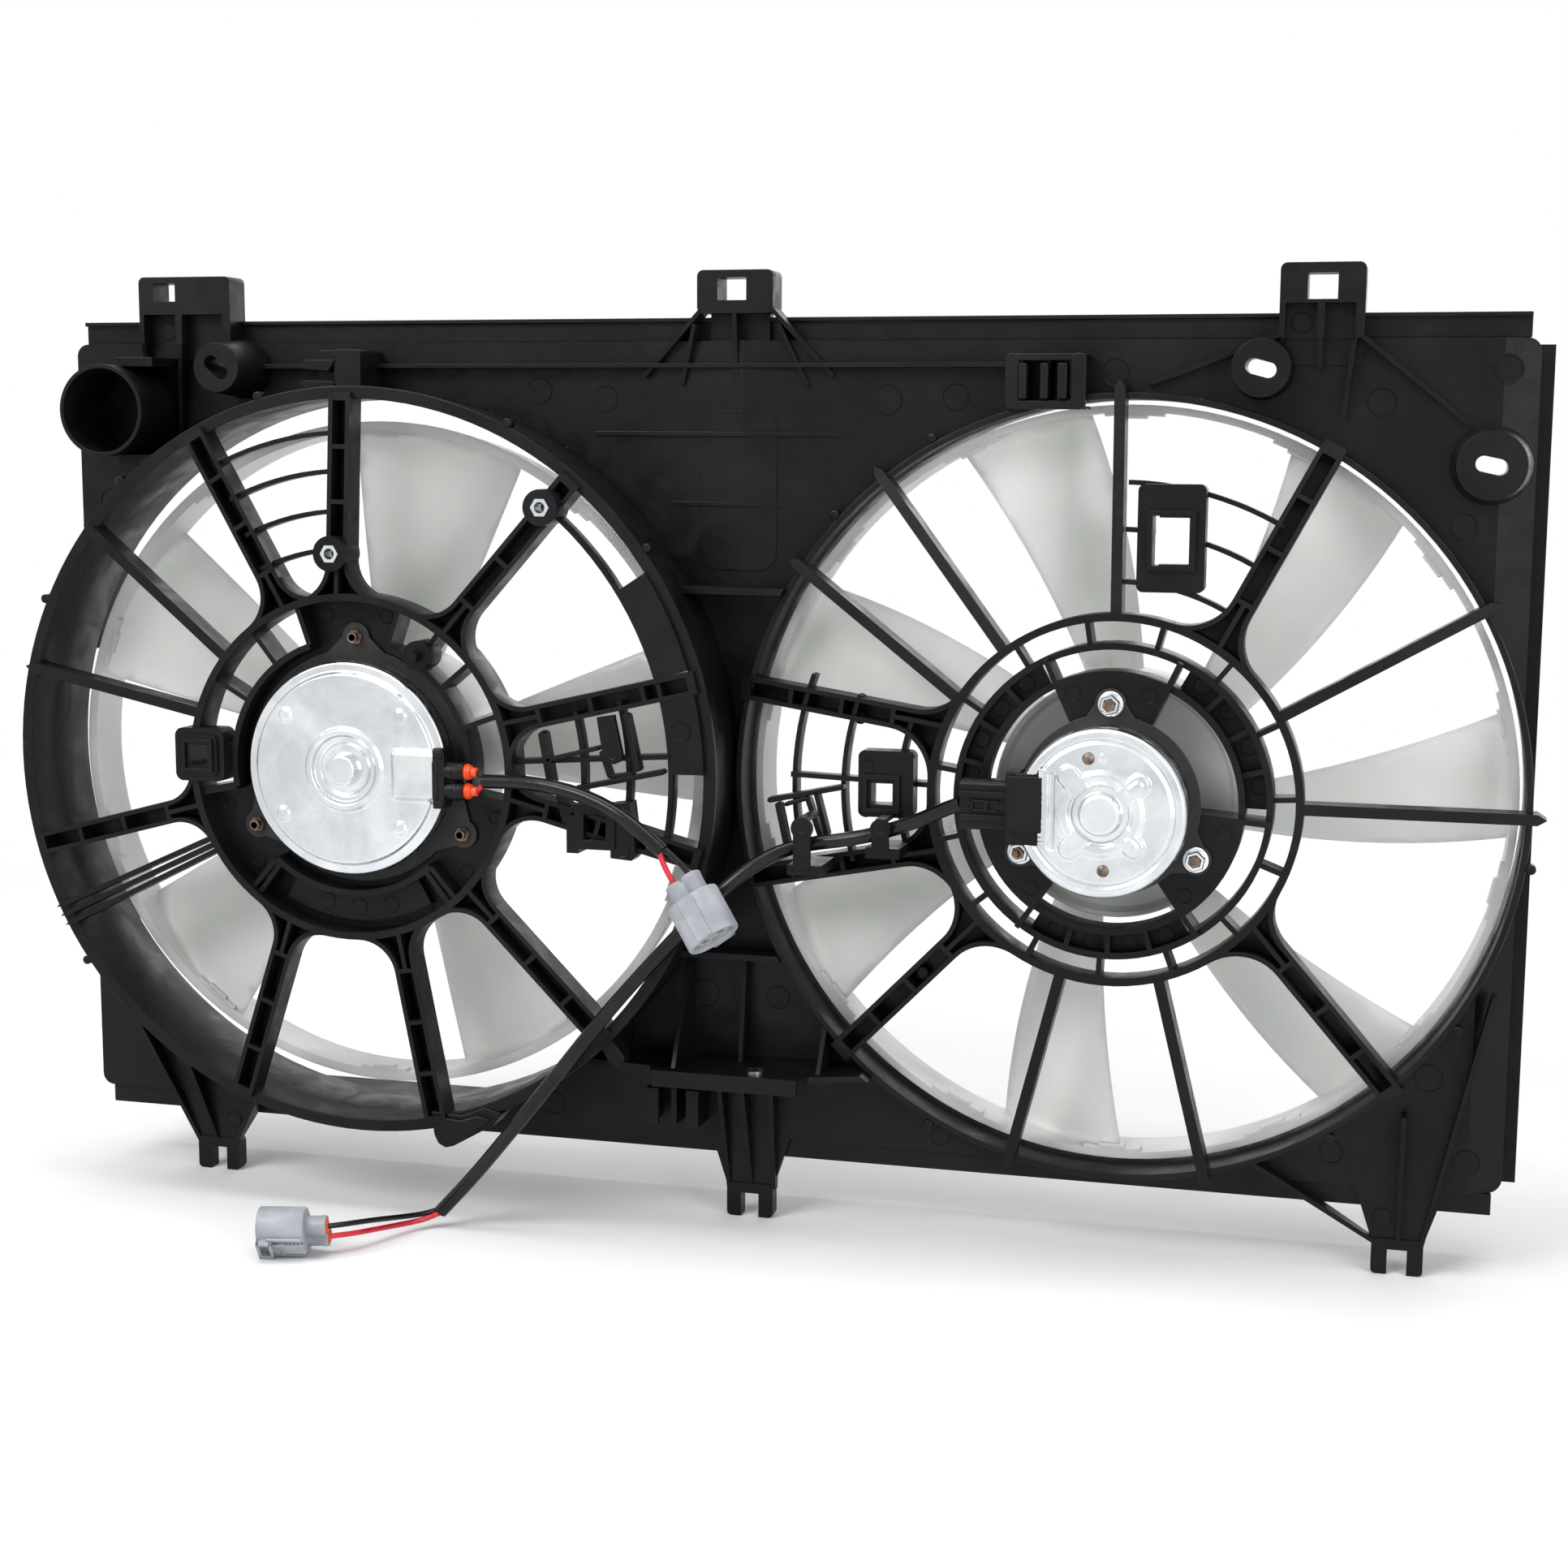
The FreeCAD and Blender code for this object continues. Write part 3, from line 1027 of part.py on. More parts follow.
def fan_wheel(x, z, count, stations, rest_deg, band, hub):
    """Hub cup, blades and outer band of one fan."""
    band_in = band["r"] - BAND_T
    front = -band["front"]
    back = front + band["depth"]
    profile = [
        (band_in, front),
        (band["r"] + band["lip"], front),
        (band["r"] + band["lip"], front + BAND_T),
        (band["r"], front + BAND_T),
        (band["r"], back),
        (band_in, back),
    ]
    rim = turned(0, 0, profile)
    cup_front = -hub["front"]
    cup_back = hub["back"]
    disc_y = hub["disc"]
    inner = hub["r"] - HUB_SKIRT_T
    cup = turned(0, 0, [
        (SHAFT_R, disc_y - 2.0),
        (11.0, disc_y - 2.0),
        (14.0, disc_y),
        (inner - 2.0, disc_y),
        (inner, disc_y - 2.0),
        (inner, cup_front),
        (hub["r"] - 0.8, cup_front),
        (hub["r"], cup_front + 1.5),
        (hub["r"], cup_back),
        (inner, cup_back),
        (inner, disc_y + HUB_SKIRT_T + 2.0),
        (inner - 2.0, disc_y + HUB_SKIRT_T),
        (14.0, disc_y + HUB_SKIRT_T),
        (11.0, disc_y + HUB_SKIRT_T + 6.0),
        (SHAFT_R, disc_y + HUB_SKIRT_T + 6.0),
    ])
    pieces = [rim, cup]
    for index in range(count):
        blade = fan_blade(stations, hub["r"] - 1.0, band["r"] - 1.0)
        blade.rotate(V(0, 0, 0), V(0, -1, 0), rest_deg + 360.0 * index / count)
        pieces.append(blade)
    for index in range(hub["ribs"]):
        stiffener = block(10.0, inner + 0.5, disc_y + 1.0, cup_back - 3.0, -1.0, 1.0)
        stiffener.rotate(V(0, 0, 0), V(0, -1, 0), 360.0 * (index + 0.5) / hub["ribs"])
        pieces.append(stiffener)
    wheel = fused(pieces)
    wheel = wheel.cut(along_y(0, 0, 8.5, disc_y + HUB_SKIRT_T + 6.0, 80.0))
    wheel.translate(V(x, 0, z))
    return wheel


def stations(hub_r, band_r, sections):
    """Blade sections at radii just inside the hub, halfway out and just outside the band."""
    middle = (hub_r + band_r) / 2.0
    radii = (hub_r - 6.0, middle, band_r + 9.0)
    return [(radius,) + section for radius, section in zip(radii, sections)]


LEFT_SECTIONS = ((15.5, -15.5, -9.0, 5.0, 3.0), (15.0, -15.0, -11.0, 6.5, 5.0), (14.5, -14.5, -11.5, 7.5, 5.0))
RIGHT_SECTIONS = ((12.5, -12.5, 2.0, 21.0, 2.0), (18.5, -3.5, 6.5, 25.0, 3.5), (23.5, 3.0, 6.5, 26.0, 3.5))


def left_fan():
    band = {"r": LEFT_BAND_R, "lip": LEFT_BAND_LIP, "front": LEFT_BAND_FRONT, "depth": LEFT_BAND_DEPTH}
    hub = {"r": LEFT_FAN_HUB_R, "front": LEFT_FAN_HUB_FRONT, "back": LEFT_FAN_HUB_BACK, "disc": LEFT_DISC_Y, "ribs": 5}
    sections = stations(LEFT_FAN_HUB_R, LEFT_BAND_R, LEFT_SECTIONS)
    return fan_wheel(LEFT_X, LEFT_Z, LEFT_BLADES, sections, 80.0, band, hub)


def right_fan():
    band = {"r": RIGHT_BAND_R, "lip": RIGHT_BAND_LIP, "front": RIGHT_BAND_FRONT, "depth": RIGHT_BAND_DEPTH}
    front, back = RIGHT_FAN_HUB_FRONT, RIGHT_FAN_HUB_BACK
    hub = {"r": RIGHT_FAN_HUB_R, "front": front, "back": back, "disc": RIGHT_DISC_Y, "ribs": 7}
    sections = stations(RIGHT_FAN_HUB_R, RIGHT_BAND_R, RIGHT_SECTIONS)
    return fan_wheel(RIGHT_X, RIGHT_Z, RIGHT_BLADES, sections, 95.0, band, hub)


def fan_nut(x, z, disc_y):
    """Flanged nut that holds the fan on its shaft."""
    seat = disc_y + HUB_SKIRT_T + 6.0
    flange = along_y(x, z, 7.8, seat, seat + 1.6)
    nut = hex_bar(x, z, 6.5, seat + 1.6, seat + 7.0)
    return fused([flange, nut]).cut(along_y(x, z, SHAFT_R, seat - 1.0, seat + 8.0))


# Motors: all share the same layout, so one set of functions serves both sizes

LEFT_MOTOR = {
    "x": LEFT_X, "z": LEFT_Z, "can_r": LEFT_CAN_R, "open_y": -LEFT_COVER_FRONT + COVER_SKIRT, "length": LEFT_CAN_LEN,
    "cover_front": -LEFT_COVER_FRONT, "pad_y": -LEFT_PAD_FRONT, "stud_r": LEFT_STUD_PCD_R, "disc": LEFT_DISC_Y,
    "plate_r": LEFT_CAN_R + LEFT_PLATE_OUT, "boss": LEFT_BOSS_RISE, "slots": 12, "rivets": (),
    "lead_pad": (LEFT_CAN_R - 26.0, LEFT_CAN_R - 4.0, -14.5, 11.5),
    "buttons": [(LEFT_CAN_R - 10.5, degrees) for degrees in (140.0, 42.0, -145.0, -44.0)],
    "notch": (LEFT_X + LEFT_CAN_R - 3.5, LEFT_X + LEFT_CAN_R + 10.0, LEFT_Z - 16.8, LEFT_Z + 12.2),
}
RIGHT_MOTOR = {
    "x": RIGHT_X, "z": RIGHT_Z, "can_r": RIGHT_CAN_R, "length": RIGHT_CAN_LEN,
    "open_y": -RIGHT_COVER_FRONT + COVER_SKIRT,
    "cover_front": -RIGHT_COVER_FRONT, "pad_y": -RIGHT_PAD_FRONT, "stud_r": RIGHT_STUD_PCD_R, "disc": RIGHT_DISC_Y,
    "plate_r": RIGHT_CAN_R + RIGHT_PLATE_OUT, "boss": RIGHT_BOSS_RISE, "slots": 10, "lead_pad": None,
    "rivets": [(RIGHT_CAN_R - 11.0, degrees) for degrees in (103.0, -86.0)], "buttons": (),
    "notch": (RIGHT_X - RIGHT_CAN_R - 14.0, RIGHT_X - RIGHT_CAN_R + 9.0, RIGHT_Z - 15.5, RIGHT_Z + 16.5),
}


def can_back(motor):
    return motor["open_y"] + motor["length"]


def motor_can(motor):
    """Drawn steel can with its closed end and bearing boss towards the fan."""
    x, z, r = motor["x"], motor["z"], motor["can_r"]
    front, back = motor["open_y"], can_back(motor)
    profile = [
        (r - CAN_T, front),
        (r, front),
        (r, back - 3.0),
        (r - 3.0, back),
        (BEARING_BOSS_R, back),
        (BEARING_BOSS_R, back + BEARING_BOSS_LEN),
        (SHAFT_R + 1.0, back + BEARING_BOSS_LEN),
        (SHAFT_R + 1.0, back + BEARING_BOSS_LEN - CAN_T),
        (BEARING_R, back + BEARING_BOSS_LEN - CAN_T),
        (BEARING_R, back - CAN_T),
        (r - 3.0, back - CAN_T),
        (r - CAN_T, back - 3.0 - CAN_T),
    ]
    return turned(x, z, profile)


def cover_rivets(motor):
    """Rivets that hold the brush card to the cover."""
    heads = []
    for radius, degrees in motor["rivets"]:
        px, pz = polar(motor["x"], motor["z"], radius, degrees)
        heads.append(along_y(px, pz, 2.6, motor["cover_front"] - 1.2, motor["cover_front"]))
    return Part.makeCompound(heads)


def bearing(motor, front):
    return tube_y(motor["x"], motor["z"], BEARING_R, SHAFT_R + SHAFT_CLEAR, front, front + BEARING_LEN)


def bearings(motor):
    rear_front = can_back(motor) + BEARING_BOSS_LEN - CAN_T - BEARING_LEN
    front_front = motor["open_y"] - 2.0
    return Part.makeCompound([bearing(motor, front_front), bearing(motor, rear_front)])


def cover_profile(motor):
    """Pressed end cover: rolled rim, raised face, well and centre boss."""
    r = motor["can_r"] + COVER_LAP
    front = motor["cover_front"]
    rim = motor["open_y"]
    boss = motor["boss"]
    return [
        (0, front - boss),
        (6.0, front - boss),
        (7.6, front - boss + 1.4),
        (BEARING_R + 1.2, front + 1.0),
        (15.5, front + 1.0),
        (18.0, front - 0.6),
        (20.5, front),
        (r - 5.0, front),
        (r - 1.5, front + 1.4),
        (r, front + 3.0),
        (r, rim + 4.5),
        (motor["can_r"], rim + 4.5),
        (motor["can_r"], rim),
        (motor["can_r"] - CAN_T, rim),
        (motor["can_r"] - CAN_T, rim - 0.4),
        (20.0, rim - 1.9),
        (BEARING_R, rim - 1.2),
        (BEARING_R, rim - 2.0),
        (5.6, rim - 2.0),
        (5.0, front - 1.4),
        (0, front - 1.4),
    ]


def motor_cover(motor):
    """Pressed cover with its buttons, lead pad and the notch for the outlet."""
    x, z, front = motor["x"], motor["z"], motor["cover_front"]
    pieces = [turned(x, z, cover_profile(motor))]
    for radius, degrees in motor["buttons"]:
        pieces.append(along_y(*polar(x, z, radius, degrees), BUTTON_R, front - 1.2, front + 0.5))
    if motor["lead_pad"]:
        x0, x1, z0, z1 = motor["lead_pad"]
        pieces.append(rounded_y(x + x0, x + x1, z + z0, z + z1, 2.0, front - 1.4, front + 0.5))
    return fused(pieces).cut(notch_space(motor["notch"], -90.0, -50.0))


def mounting_plate(motor):
    """Steel plate round the can, with an ear over each motor seat."""
    x, z = motor["x"], motor["z"]
    front = motor["pad_y"] - EAR_T
    back = motor["pad_y"]
    pieces = [along_y(x, z, motor["plate_r"], front, back)]
    for degrees in PAD_ANGLES:
        tip_x, tip_z = polar(x, z, motor["stud_r"], degrees)
        pieces.append(along_y(tip_x, tip_z, EAR_R, front, back))
        low = polar(x, z, motor["plate_r"] - 1.0, degrees - 17.0)
        high = polar(x, z, motor["plate_r"] - 1.0, degrees + 17.0)
        dx, dz = polar(0.0, 0.0, EAR_R, degrees + 90.0)
        pieces.append(outline_y([low, (tip_x - dx, tip_z - dz), (tip_x + dx, tip_z + dz), high], front, back))
    plate = fused(pieces)
    plate = plate.cut(along_y(x, z, motor["can_r"], front - 1.0, back + 1.0))
    for degrees in PAD_ANGLES:
        plate = plate.cut(along_y(*polar(x, z, motor["stud_r"], degrees), STUD_R, front - 1.0, back + 1.0))
    return plate


def studs(motor, ahead, behind):
    """Motor studs, one through each ear and seat."""
    rods = []
    for degrees in PAD_ANGLES:
        px, pz = polar(motor["x"], motor["z"], motor["stud_r"], degrees)
        rods.append(along_y(px, pz, STUD_R, motor["pad_y"] - EAR_T - ahead, motor["pad_y"] + PAD_T + behind))
    return rods


def left_motor_screws():
    """Screws put in from behind, their ends showing ahead of the ears and their heads behind the seats."""
    motor = LEFT_MOTOR
    screws = []
    for degrees, rod in zip(PAD_ANGLES, studs(motor, 4.5, 0.0)):
        px, pz = polar(motor["x"], motor["z"], motor["stud_r"], degrees)
        head_y = motor["pad_y"] + PAD_T
        nut_y = motor["pad_y"] - EAR_T
        head = along_y(px, pz, 4.5, head_y, head_y + 2.5)
        screws.append(fused([rod, head, hex_bar(px, pz, 3.6, nut_y - 1.5, nut_y)]))
    return Part.makeCompound(screws)


def right_motor_studs():
    motor = RIGHT_MOTOR
    rods = []
    for degrees, rod in zip(PAD_ANGLES, studs(motor, 7.0, 0.0)):
        px, pz = polar(motor["x"], motor["z"], motor["stud_r"], degrees)
        head_y = motor["pad_y"] + PAD_T
        rods.append(fused([rod, along_y(px, pz, 5.0, head_y, head_y + 2.0)]))
    return Part.makeCompound(rods)


def right_flange_nuts():
    motor = RIGHT_MOTOR
    nuts = []
    for degrees in PAD_ANGLES:
        px, pz = polar(motor["x"], motor["z"], motor["stud_r"], degrees)
        back = motor["pad_y"] - EAR_T
        nut = fused([along_y(px, pz, 5.8, back - 1.2, back), hex_bar(px, pz, 4.8, back - 5.0, back - 1.2)])
        nuts.append(nut.cut(along_y(px, pz, STUD_R, back - 6.0, back + 1.0)))
    return Part.makeCompound(nuts)


def magnets(motor):
    outer = motor["can_r"] - CAN_T
    front = motor["open_y"] + 6.0
    back = can_back(motor) - 8.0
    inner = outer - MAGNET_T
    arcs = []
    for start in (8, 98, 188, 278):
        arcs.append(sector(motor["x"], motor["z"], inner, outer, start, start + 74, front, back))
    return Part.makeCompound(arcs)


def armature(motor):
    """Slotted rotor pressed on the shaft."""
    radius = motor["can_r"] - CAN_T - MAGNET_T - ROTOR_GAP
    front = motor["open_y"] + 9.0
    back = can_back(motor) - 9.0
    core = tube_y(motor["x"], motor["z"], radius, SHAFT_R, front, back)
    for index in range(motor["slots"]):
        slot = block(radius * 0.55, radius + 1.0, front - 1.0, back + 1.0, -1.6, 1.6)
        core = core.cut(placed(slot, motor["x"], motor["z"], 360.0 * index / motor["slots"]))
    return core


def commutator(motor):
    front = motor["open_y"] + 3.4
    return tube_y(motor["x"], motor["z"], 9.0, SHAFT_R, front, motor["open_y"] + 9.0)


def brush_card(motor):
    """Insulating card with two brush boxes facing the commutator."""
    x, z = motor["x"], motor["z"]
    outer = motor["can_r"] - CAN_T
    y0 = motor["open_y"] + 1.0
    card = tube_y(x, z, outer, 12.0, y0, y0 + 1.6)
    boxes = [placed(block(9.4, outer - 6.0, y0 + 1.6, y0 + 6.4, -3.5, 3.5), x, z, deg) for deg in (45.0, 225.0)]
    return fused([card] + boxes)


def motor_shaft(motor):
    nut_end = motor["disc"] + HUB_SKIRT_T + 6.0 + 8.0
    front = motor["open_y"] - 1.8
    return along_y(motor["x"], motor["z"], SHAFT_R, front, nut_end)


# Lead outlets on the motors

LEFT_OUTLET_Y = -LEFT_PAD_FRONT - LEFT_OUTLET_AHEAD
LEFT_OUTLET_Z = (LEFT_Z + LEFT_OUTLET_UPPER, LEFT_Z + LEFT_OUTLET_LOWER)
LEFT_OUTLET_END = LEFT_CAN_R + LEFT_OUTLET_OUT
LEFT_NOTCH = LEFT_MOTOR["notch"]
RIGHT_NOTCH = RIGHT_MOTOR["notch"]
RIGHT_PLUG_X = RIGHT_X - RIGHT_CAN_R - RIGHT_PLUG_OUT


def notch_space(notch, y0, y1):
    x0, x1, z0, z1 = notch
    return block(x0 - NOTCH_GAP, x1 + NOTCH_GAP, y0, y1, z0 - NOTCH_GAP, z1 + NOTCH_GAP)


def left_motor_outlet():
    """Black outlet in the cover's notch, with a barrel for each wire seal."""
    x0, x1, z0, z1 = LEFT_NOTCH
    open_y = LEFT_MOTOR["open_y"]
    front = -LEFT_COVER_FRONT - 1.0
    round_edge = along_y(LEFT_X, LEFT_Z, LEFT_CAN_R + 3.4, -80.0, 0.0)
    cap = block(x0, x1, front, open_y - 0.1, z0, z1).common(round_edge)
    base = block(LEFT_X + LEFT_CAN_R - 5.0, x1, front, -LEFT_PAD_FRONT - 8.0, z0, z1).common(round_edge)
    base = base.cut(along_y(LEFT_X, LEFT_Z, LEFT_CAN_R, -80.0, 0.0))
    start, end = LEFT_X + LEFT_CAN_R + 1.0, LEFT_X + LEFT_OUTLET_END
    barrels = [along_x(LEFT_OUTLET_Y, z, BARREL_R, start, end) for z in LEFT_OUTLET_Z]
    outlet = fused([cap, base] + barrels)
    return outlet.cut(along_y(LEFT_X, LEFT_Z, LEFT_CAN_R, open_y - 0.1, 0.0))


def left_outlet_seals():
    seals = []
    start = LEFT_X + LEFT_OUTLET_END
    for z in LEFT_OUTLET_Z:
        large = along_x(LEFT_OUTLET_Y, z, SEAL_R, start, start + SEAL_LEN * 0.5)
        small = along_x(LEFT_OUTLET_Y, z, SEAL_R - 1.2, start + SEAL_LEN * 0.5, start + SEAL_LEN)
        seals.append(fused([large, small]))
    return Part.makeCompound(seals)


def right_motor_outlet():
    """Black outlet in the cover's notch, and the connector body plugged into it."""
    x0, x1, z0, z1 = RIGHT_NOTCH
    middle = (z0 + z1) / 2.0
    edge = RIGHT_X - RIGHT_CAN_R - 6.0
    front = -RIGHT_COVER_FRONT + 1.0
    cap = block(edge, x1, front, RIGHT_MOTOR["open_y"] - 0.1, z0, z1)
    base = block(edge, edge + 5.5, front, -RIGHT_PAD_FRONT - 11.0, z0, z1)
    half = RIGHT_PLUG_HALF
    plug = block(RIGHT_PLUG_X, edge + 0.5, front + 5.5, front + 17.5, middle - half, middle + half)
    plug = plug.makeFillet(2.0, [e for e in plug.Edges if abs(e.tangentAt(e.FirstParameter).x) > 0.99])
    rails = []
    for z in (middle - 5.2, middle + 5.2):
        rails.append(block(RIGHT_PLUG_X, edge, front + 4.0, front + 6.0, z - 1.2, z + 1.2))
    latch = block(edge - 10.0, edge, front + 4.8, front + 6.0, middle - 2.0, middle + 2.0)
    body = fused([cap, base, plug, latch] + rails)
    return body.cut(along_y(RIGHT_X, RIGHT_Z, RIGHT_CAN_R, RIGHT_MOTOR["open_y"] - 0.1, 0.0))


# Leads

LEFT_SLEEVE_ROUTE = (
    (-113.7, -60.5, 221.9),
    (-102.1, -62.8, 222.6),
    (-87.3, -66.5, 222.9),
    (-72.2, -70.0, 221.6),
    (-57.2, -73.0, 218.4),
    (-43.1, -76.0, 212.9),
    (-31.0, -77.6, 205.2),
    (-20.2, -78.0, 196.0),
)
LEFT_RED_ROUTE = ((-21.1, -78.0, 194.8), (-19.3, -78.1, 190.1), (-16.6, -78.3, 185.0), (-13.5, -78.5, 180.4))
LEFT_BLACK_ROUTE = ((-19.3, -78.0, 197.2), (-15.4, -78.0, 194.3), (-10.6, -78.2, 190.1), (-6.5, -78.5, 185.6))
RIGHT_SLEEVE_ROUTE = (
    (115.6, -62.0, 221.6),
    (108.0, -60.0, 218.6),
    (97.0, -55.0, 212.9),
    (84.0, -50.0, 207.3),
    (70.0, -46.6, 202.4),
    (56.0, -45.4, 199.4),
    (42.0, -46.2, 197.4),
    (29.0, -49.8, 194.0),
    (17.0, -56.0, 187.2),
    (5.8, -60.5, 177.8),
    (-5.8, -62.2, 166.0),
    (-23.5, -63.2, 147.2),
    (-43.2, -63.4, 125.4),
    (-63.6, -62.6, 100.6),
    (-84.7, -61.4, 73.6),
    (-106.5, -59.4, 46.8),
    (-124.4, -58.0, 25.2),
    (-140.5, -57.6, 8.0),
)
RIGHT_RED_ROUTE = (
    (-140.2, -59.0, 7.7),
    (-146.0, -62.6, 5.2),
    (-152.0, -68.6, 4.6),
    (-157.4, -77.0, 5.2),
    (-161.6, -86.8, 6.4),
    (-165.0, -95.6, 7.6),
    (-169.2, -103.2, 8.5),
    (-175.2, -108.8, 8.8),
)
RIGHT_BLACK_ROUTE = (
    (-141.3, -56.7, 8.8),
    (-147.2, -61.0, 7.2),
    (-152.4, -68.4, 8.0),
    (-156.2, -78.0, 9.8),
    (-158.8, -88.0, 12.0),
    (-161.4, -97.0, 13.8),
    (-164.8, -104.6, 15.0),
    (-169.0, -110.4, 15.5),
    (-173.8, -114.2, 15.6),
)
LEFT_RED_STUB = ((-118.0, -60.0, 216.8), (-113.7, -60.5, 220.3))
LEFT_BLACK_STUB = ((-118.0, -60.0, 225.9), (-113.7, -60.5, 223.5))


def vec(point):
    return V(*point)


def route_path(points):
    """Straight runs joined by the largest tangent arcs that the runs allow, and the arcs' radii."""
    pts = [vec(point) for point in points]
    edges = []
    radii = []
    cursor = pts[0]
    for before, corner, after in zip(pts[:-2], pts[1:-1], pts[2:]):
        inward = (corner - before).normalize()
        outward = (after - corner).normalize()
        turn = inward.getAngle(outward)
        run = min((corner - before).Length, (after - corner).Length)
        cut_back = 0.45 * run
        radius = cut_back / math.tan(turn / 2.0)
        radii.append(radius)
        arc_start = corner - inward * cut_back
        arc_end = corner + outward * cut_back
        centre_dir = (outward - inward).normalize()
        centre = corner + centre_dir * (radius / math.cos(turn / 2.0))
        middle = centre + (corner - centre).normalize() * radius
        edges.append(Part.LineSegment(cursor, arc_start).toShape())
        edges.append(Part.Arc(arc_start, middle, arc_end).toShape())
        cursor = arc_end
    edges.append(Part.LineSegment(cursor, pts[-1]).toShape())
    return Part.Wire(edges), radii


def cord_tube(name, points, radius):
    path, radii = route_path(points)
    start = vec(points[0])
    direction = vec(points[1]) - start
    section = Part.Wire(Part.makeCircle(radius, start, direction))
    solid = path.makePipeShell([section], True, True)
    expected = math.pi * radius ** 2 * path.Length
    print("%s: length %.1f, volume ratio %.4f, radii %s" % (name, path.Length, solid.Volume / expected, [round(r) for r in radii]))
    return solid


def rod_between(start, end, radius):
    return Part.makeCylinder(radius, (vec(end) - vec(start)).Length, vec(start), vec(end) - vec(start))


def plug_frame(origin, forward, up):
    """Placement that carries a plug drawn along +X to its place on the lead."""
    x_axis = V(*forward).normalize()
    z_axis = V(*up) - x_axis * x_axis.dot(V(*up))
    z_axis = z_axis.normalize()
    y_axis = z_axis.cross(x_axis)
    matrix = FreeCAD.Matrix(
        x_axis.x, y_axis.x, z_axis.x, origin[0],
        x_axis.y, y_axis.y, z_axis.y, origin[1],
        x_axis.z, y_axis.z, z_axis.z, origin[2],
        0, 0, 0, 1,
    )
    return FreeCAD.Placement(matrix)


def stadium_x(width, height, x0, x1):
    """Bar along X with a section that is flat above and below and round at both sides."""
    radius = height / 2.0
    flat = width / 2.0 - radius
    ends = [along_x(side * flat, 0.0, radius, x0, x1) for side in (-1, 1)]
    return fused([block(x0, x1, -flat, flat, -radius, radius)] + ends)


def plug_local():
    """Two-way connector drawn along +X: hood open at its front, latch on top, two wire towers behind."""
    hood = stadium_x(PLUG_WIDTH, PLUG_HEIGHT, TOWER_LEN, PLUG_LEN)
    hood = hood.cut(stadium_x(PLUG_WIDTH - 2.0 * HOOD_WALL, PLUG_HEIGHT - 2.0 * HOOD_WALL, TOWER_LEN + 7.0, PLUG_LEN + 1.0))
    core = block(TOWER_LEN + 6.0, PLUG_LEN - 1.5, -8.2, 8.2, -4.4, 4.4)
    slots = [block(TOWER_LEN + 9.0, PLUG_LEN, side - 1.4, side + 1.4, -3.2, 3.2) for side in (-TAIL_PITCH / 2.0, TAIL_PITCH / 2.0)]
    for slot in slots:
        core = core.cut(slot)
    towers = [along_x(side, 0.0, TOWER_R, 0.0, TOWER_LEN + 1.0) for side in (-TAIL_PITCH / 2.0, TAIL_PITCH / 2.0)]
    half_h = PLUG_HEIGHT / 2.0
    latch_foot = block(PLUG_LEN - 8.0, PLUG_LEN, -6.0, 6.0, half_h - 0.6, half_h + LATCH_RISE)
    latch_gap = block(PLUG_LEN - 6.2, PLUG_LEN - 1.8, -4.2, 4.2, half_h + 0.6, half_h + LATCH_RISE + 1.0)
    latch_arm = block(TOWER_LEN - 2.0, PLUG_LEN - 7.0, -3.6, 3.6, half_h + 0.4, half_h + 2.2)
    latch_root = block(TOWER_LEN + 8.0, TOWER_LEN + 11.0, -3.6, 3.6, half_h - 1.0, half_h + 1.0)
    keel = block(TOWER_LEN + 0.4, PLUG_LEN, -4.0, 4.0, -half_h - 0.8, -half_h + 1.0)
    body = fused([hood, core, latch_foot, latch_arm, latch_root, keel] + towers).cut(latch_gap)
    for side in (-TAIL_PITCH / 2.0, TAIL_PITCH / 2.0):
        body = body.cut(along_x(side, 0.0, SEAL_R, -1.0, 4.0))
    return body


def plug_seals_local():
    seals = []
    for side in (-TAIL_PITCH / 2.0, TAIL_PITCH / 2.0):
        seals.append(along_x(side, 0.0, SEAL_R, 0.0, 4.0))
    return Part.makeCompound(seals)


def plug_terminals_local():
    places = (-TAIL_PITCH / 2.0, TAIL_PITCH / 2.0)
    return Part.makeCompound([block(TOWER_LEN + 9.0, PLUG_LEN - 4.0, side - 0.5, side + 0.5, -2.4, 2.4) for side in places])


LEFT_PLUG = plug_frame((-10.0, -78.5, 183.0), (0.565, -0.30, -0.77), (0.178, 0.955, -0.242))
RIGHT_PLUG = plug_frame((-174.5, -111.5, 12.4), (-0.97, -0.24, 0.0), (0.0, -0.79, -0.62))


def at_plug(solid, placement):
    solid.Placement = placement.multiply(solid.Placement)
    return solid


def lead_nodes(side, sleeve_route, black_route, red_route, placement, stubs):
    black = [cord_tube(side + " black wire", black_route, WIRE_R)]
    red = [cord_tube(side + " red wire", red_route, WIRE_R)]
    if stubs:
        black.append(rod_between(*stubs[0], WIRE_R))
        red.append(rod_between(*stubs[1], WIRE_R))
    return {
        side + "_lead_sleeve": cord_tube(side + " sleeve", sleeve_route, SLEEVE_R),
        side + "_lead_black_wire": Part.makeCompound(black),
        side + "_lead_red_wire": Part.makeCompound(red),
        side + "_lead_connector": at_plug(plug_local(), placement),
        side + "_connector_seals": at_plug(plug_seals_local(), placement),
        side + "_connector_terminals": at_plug(plug_terminals_local(), placement),
    }


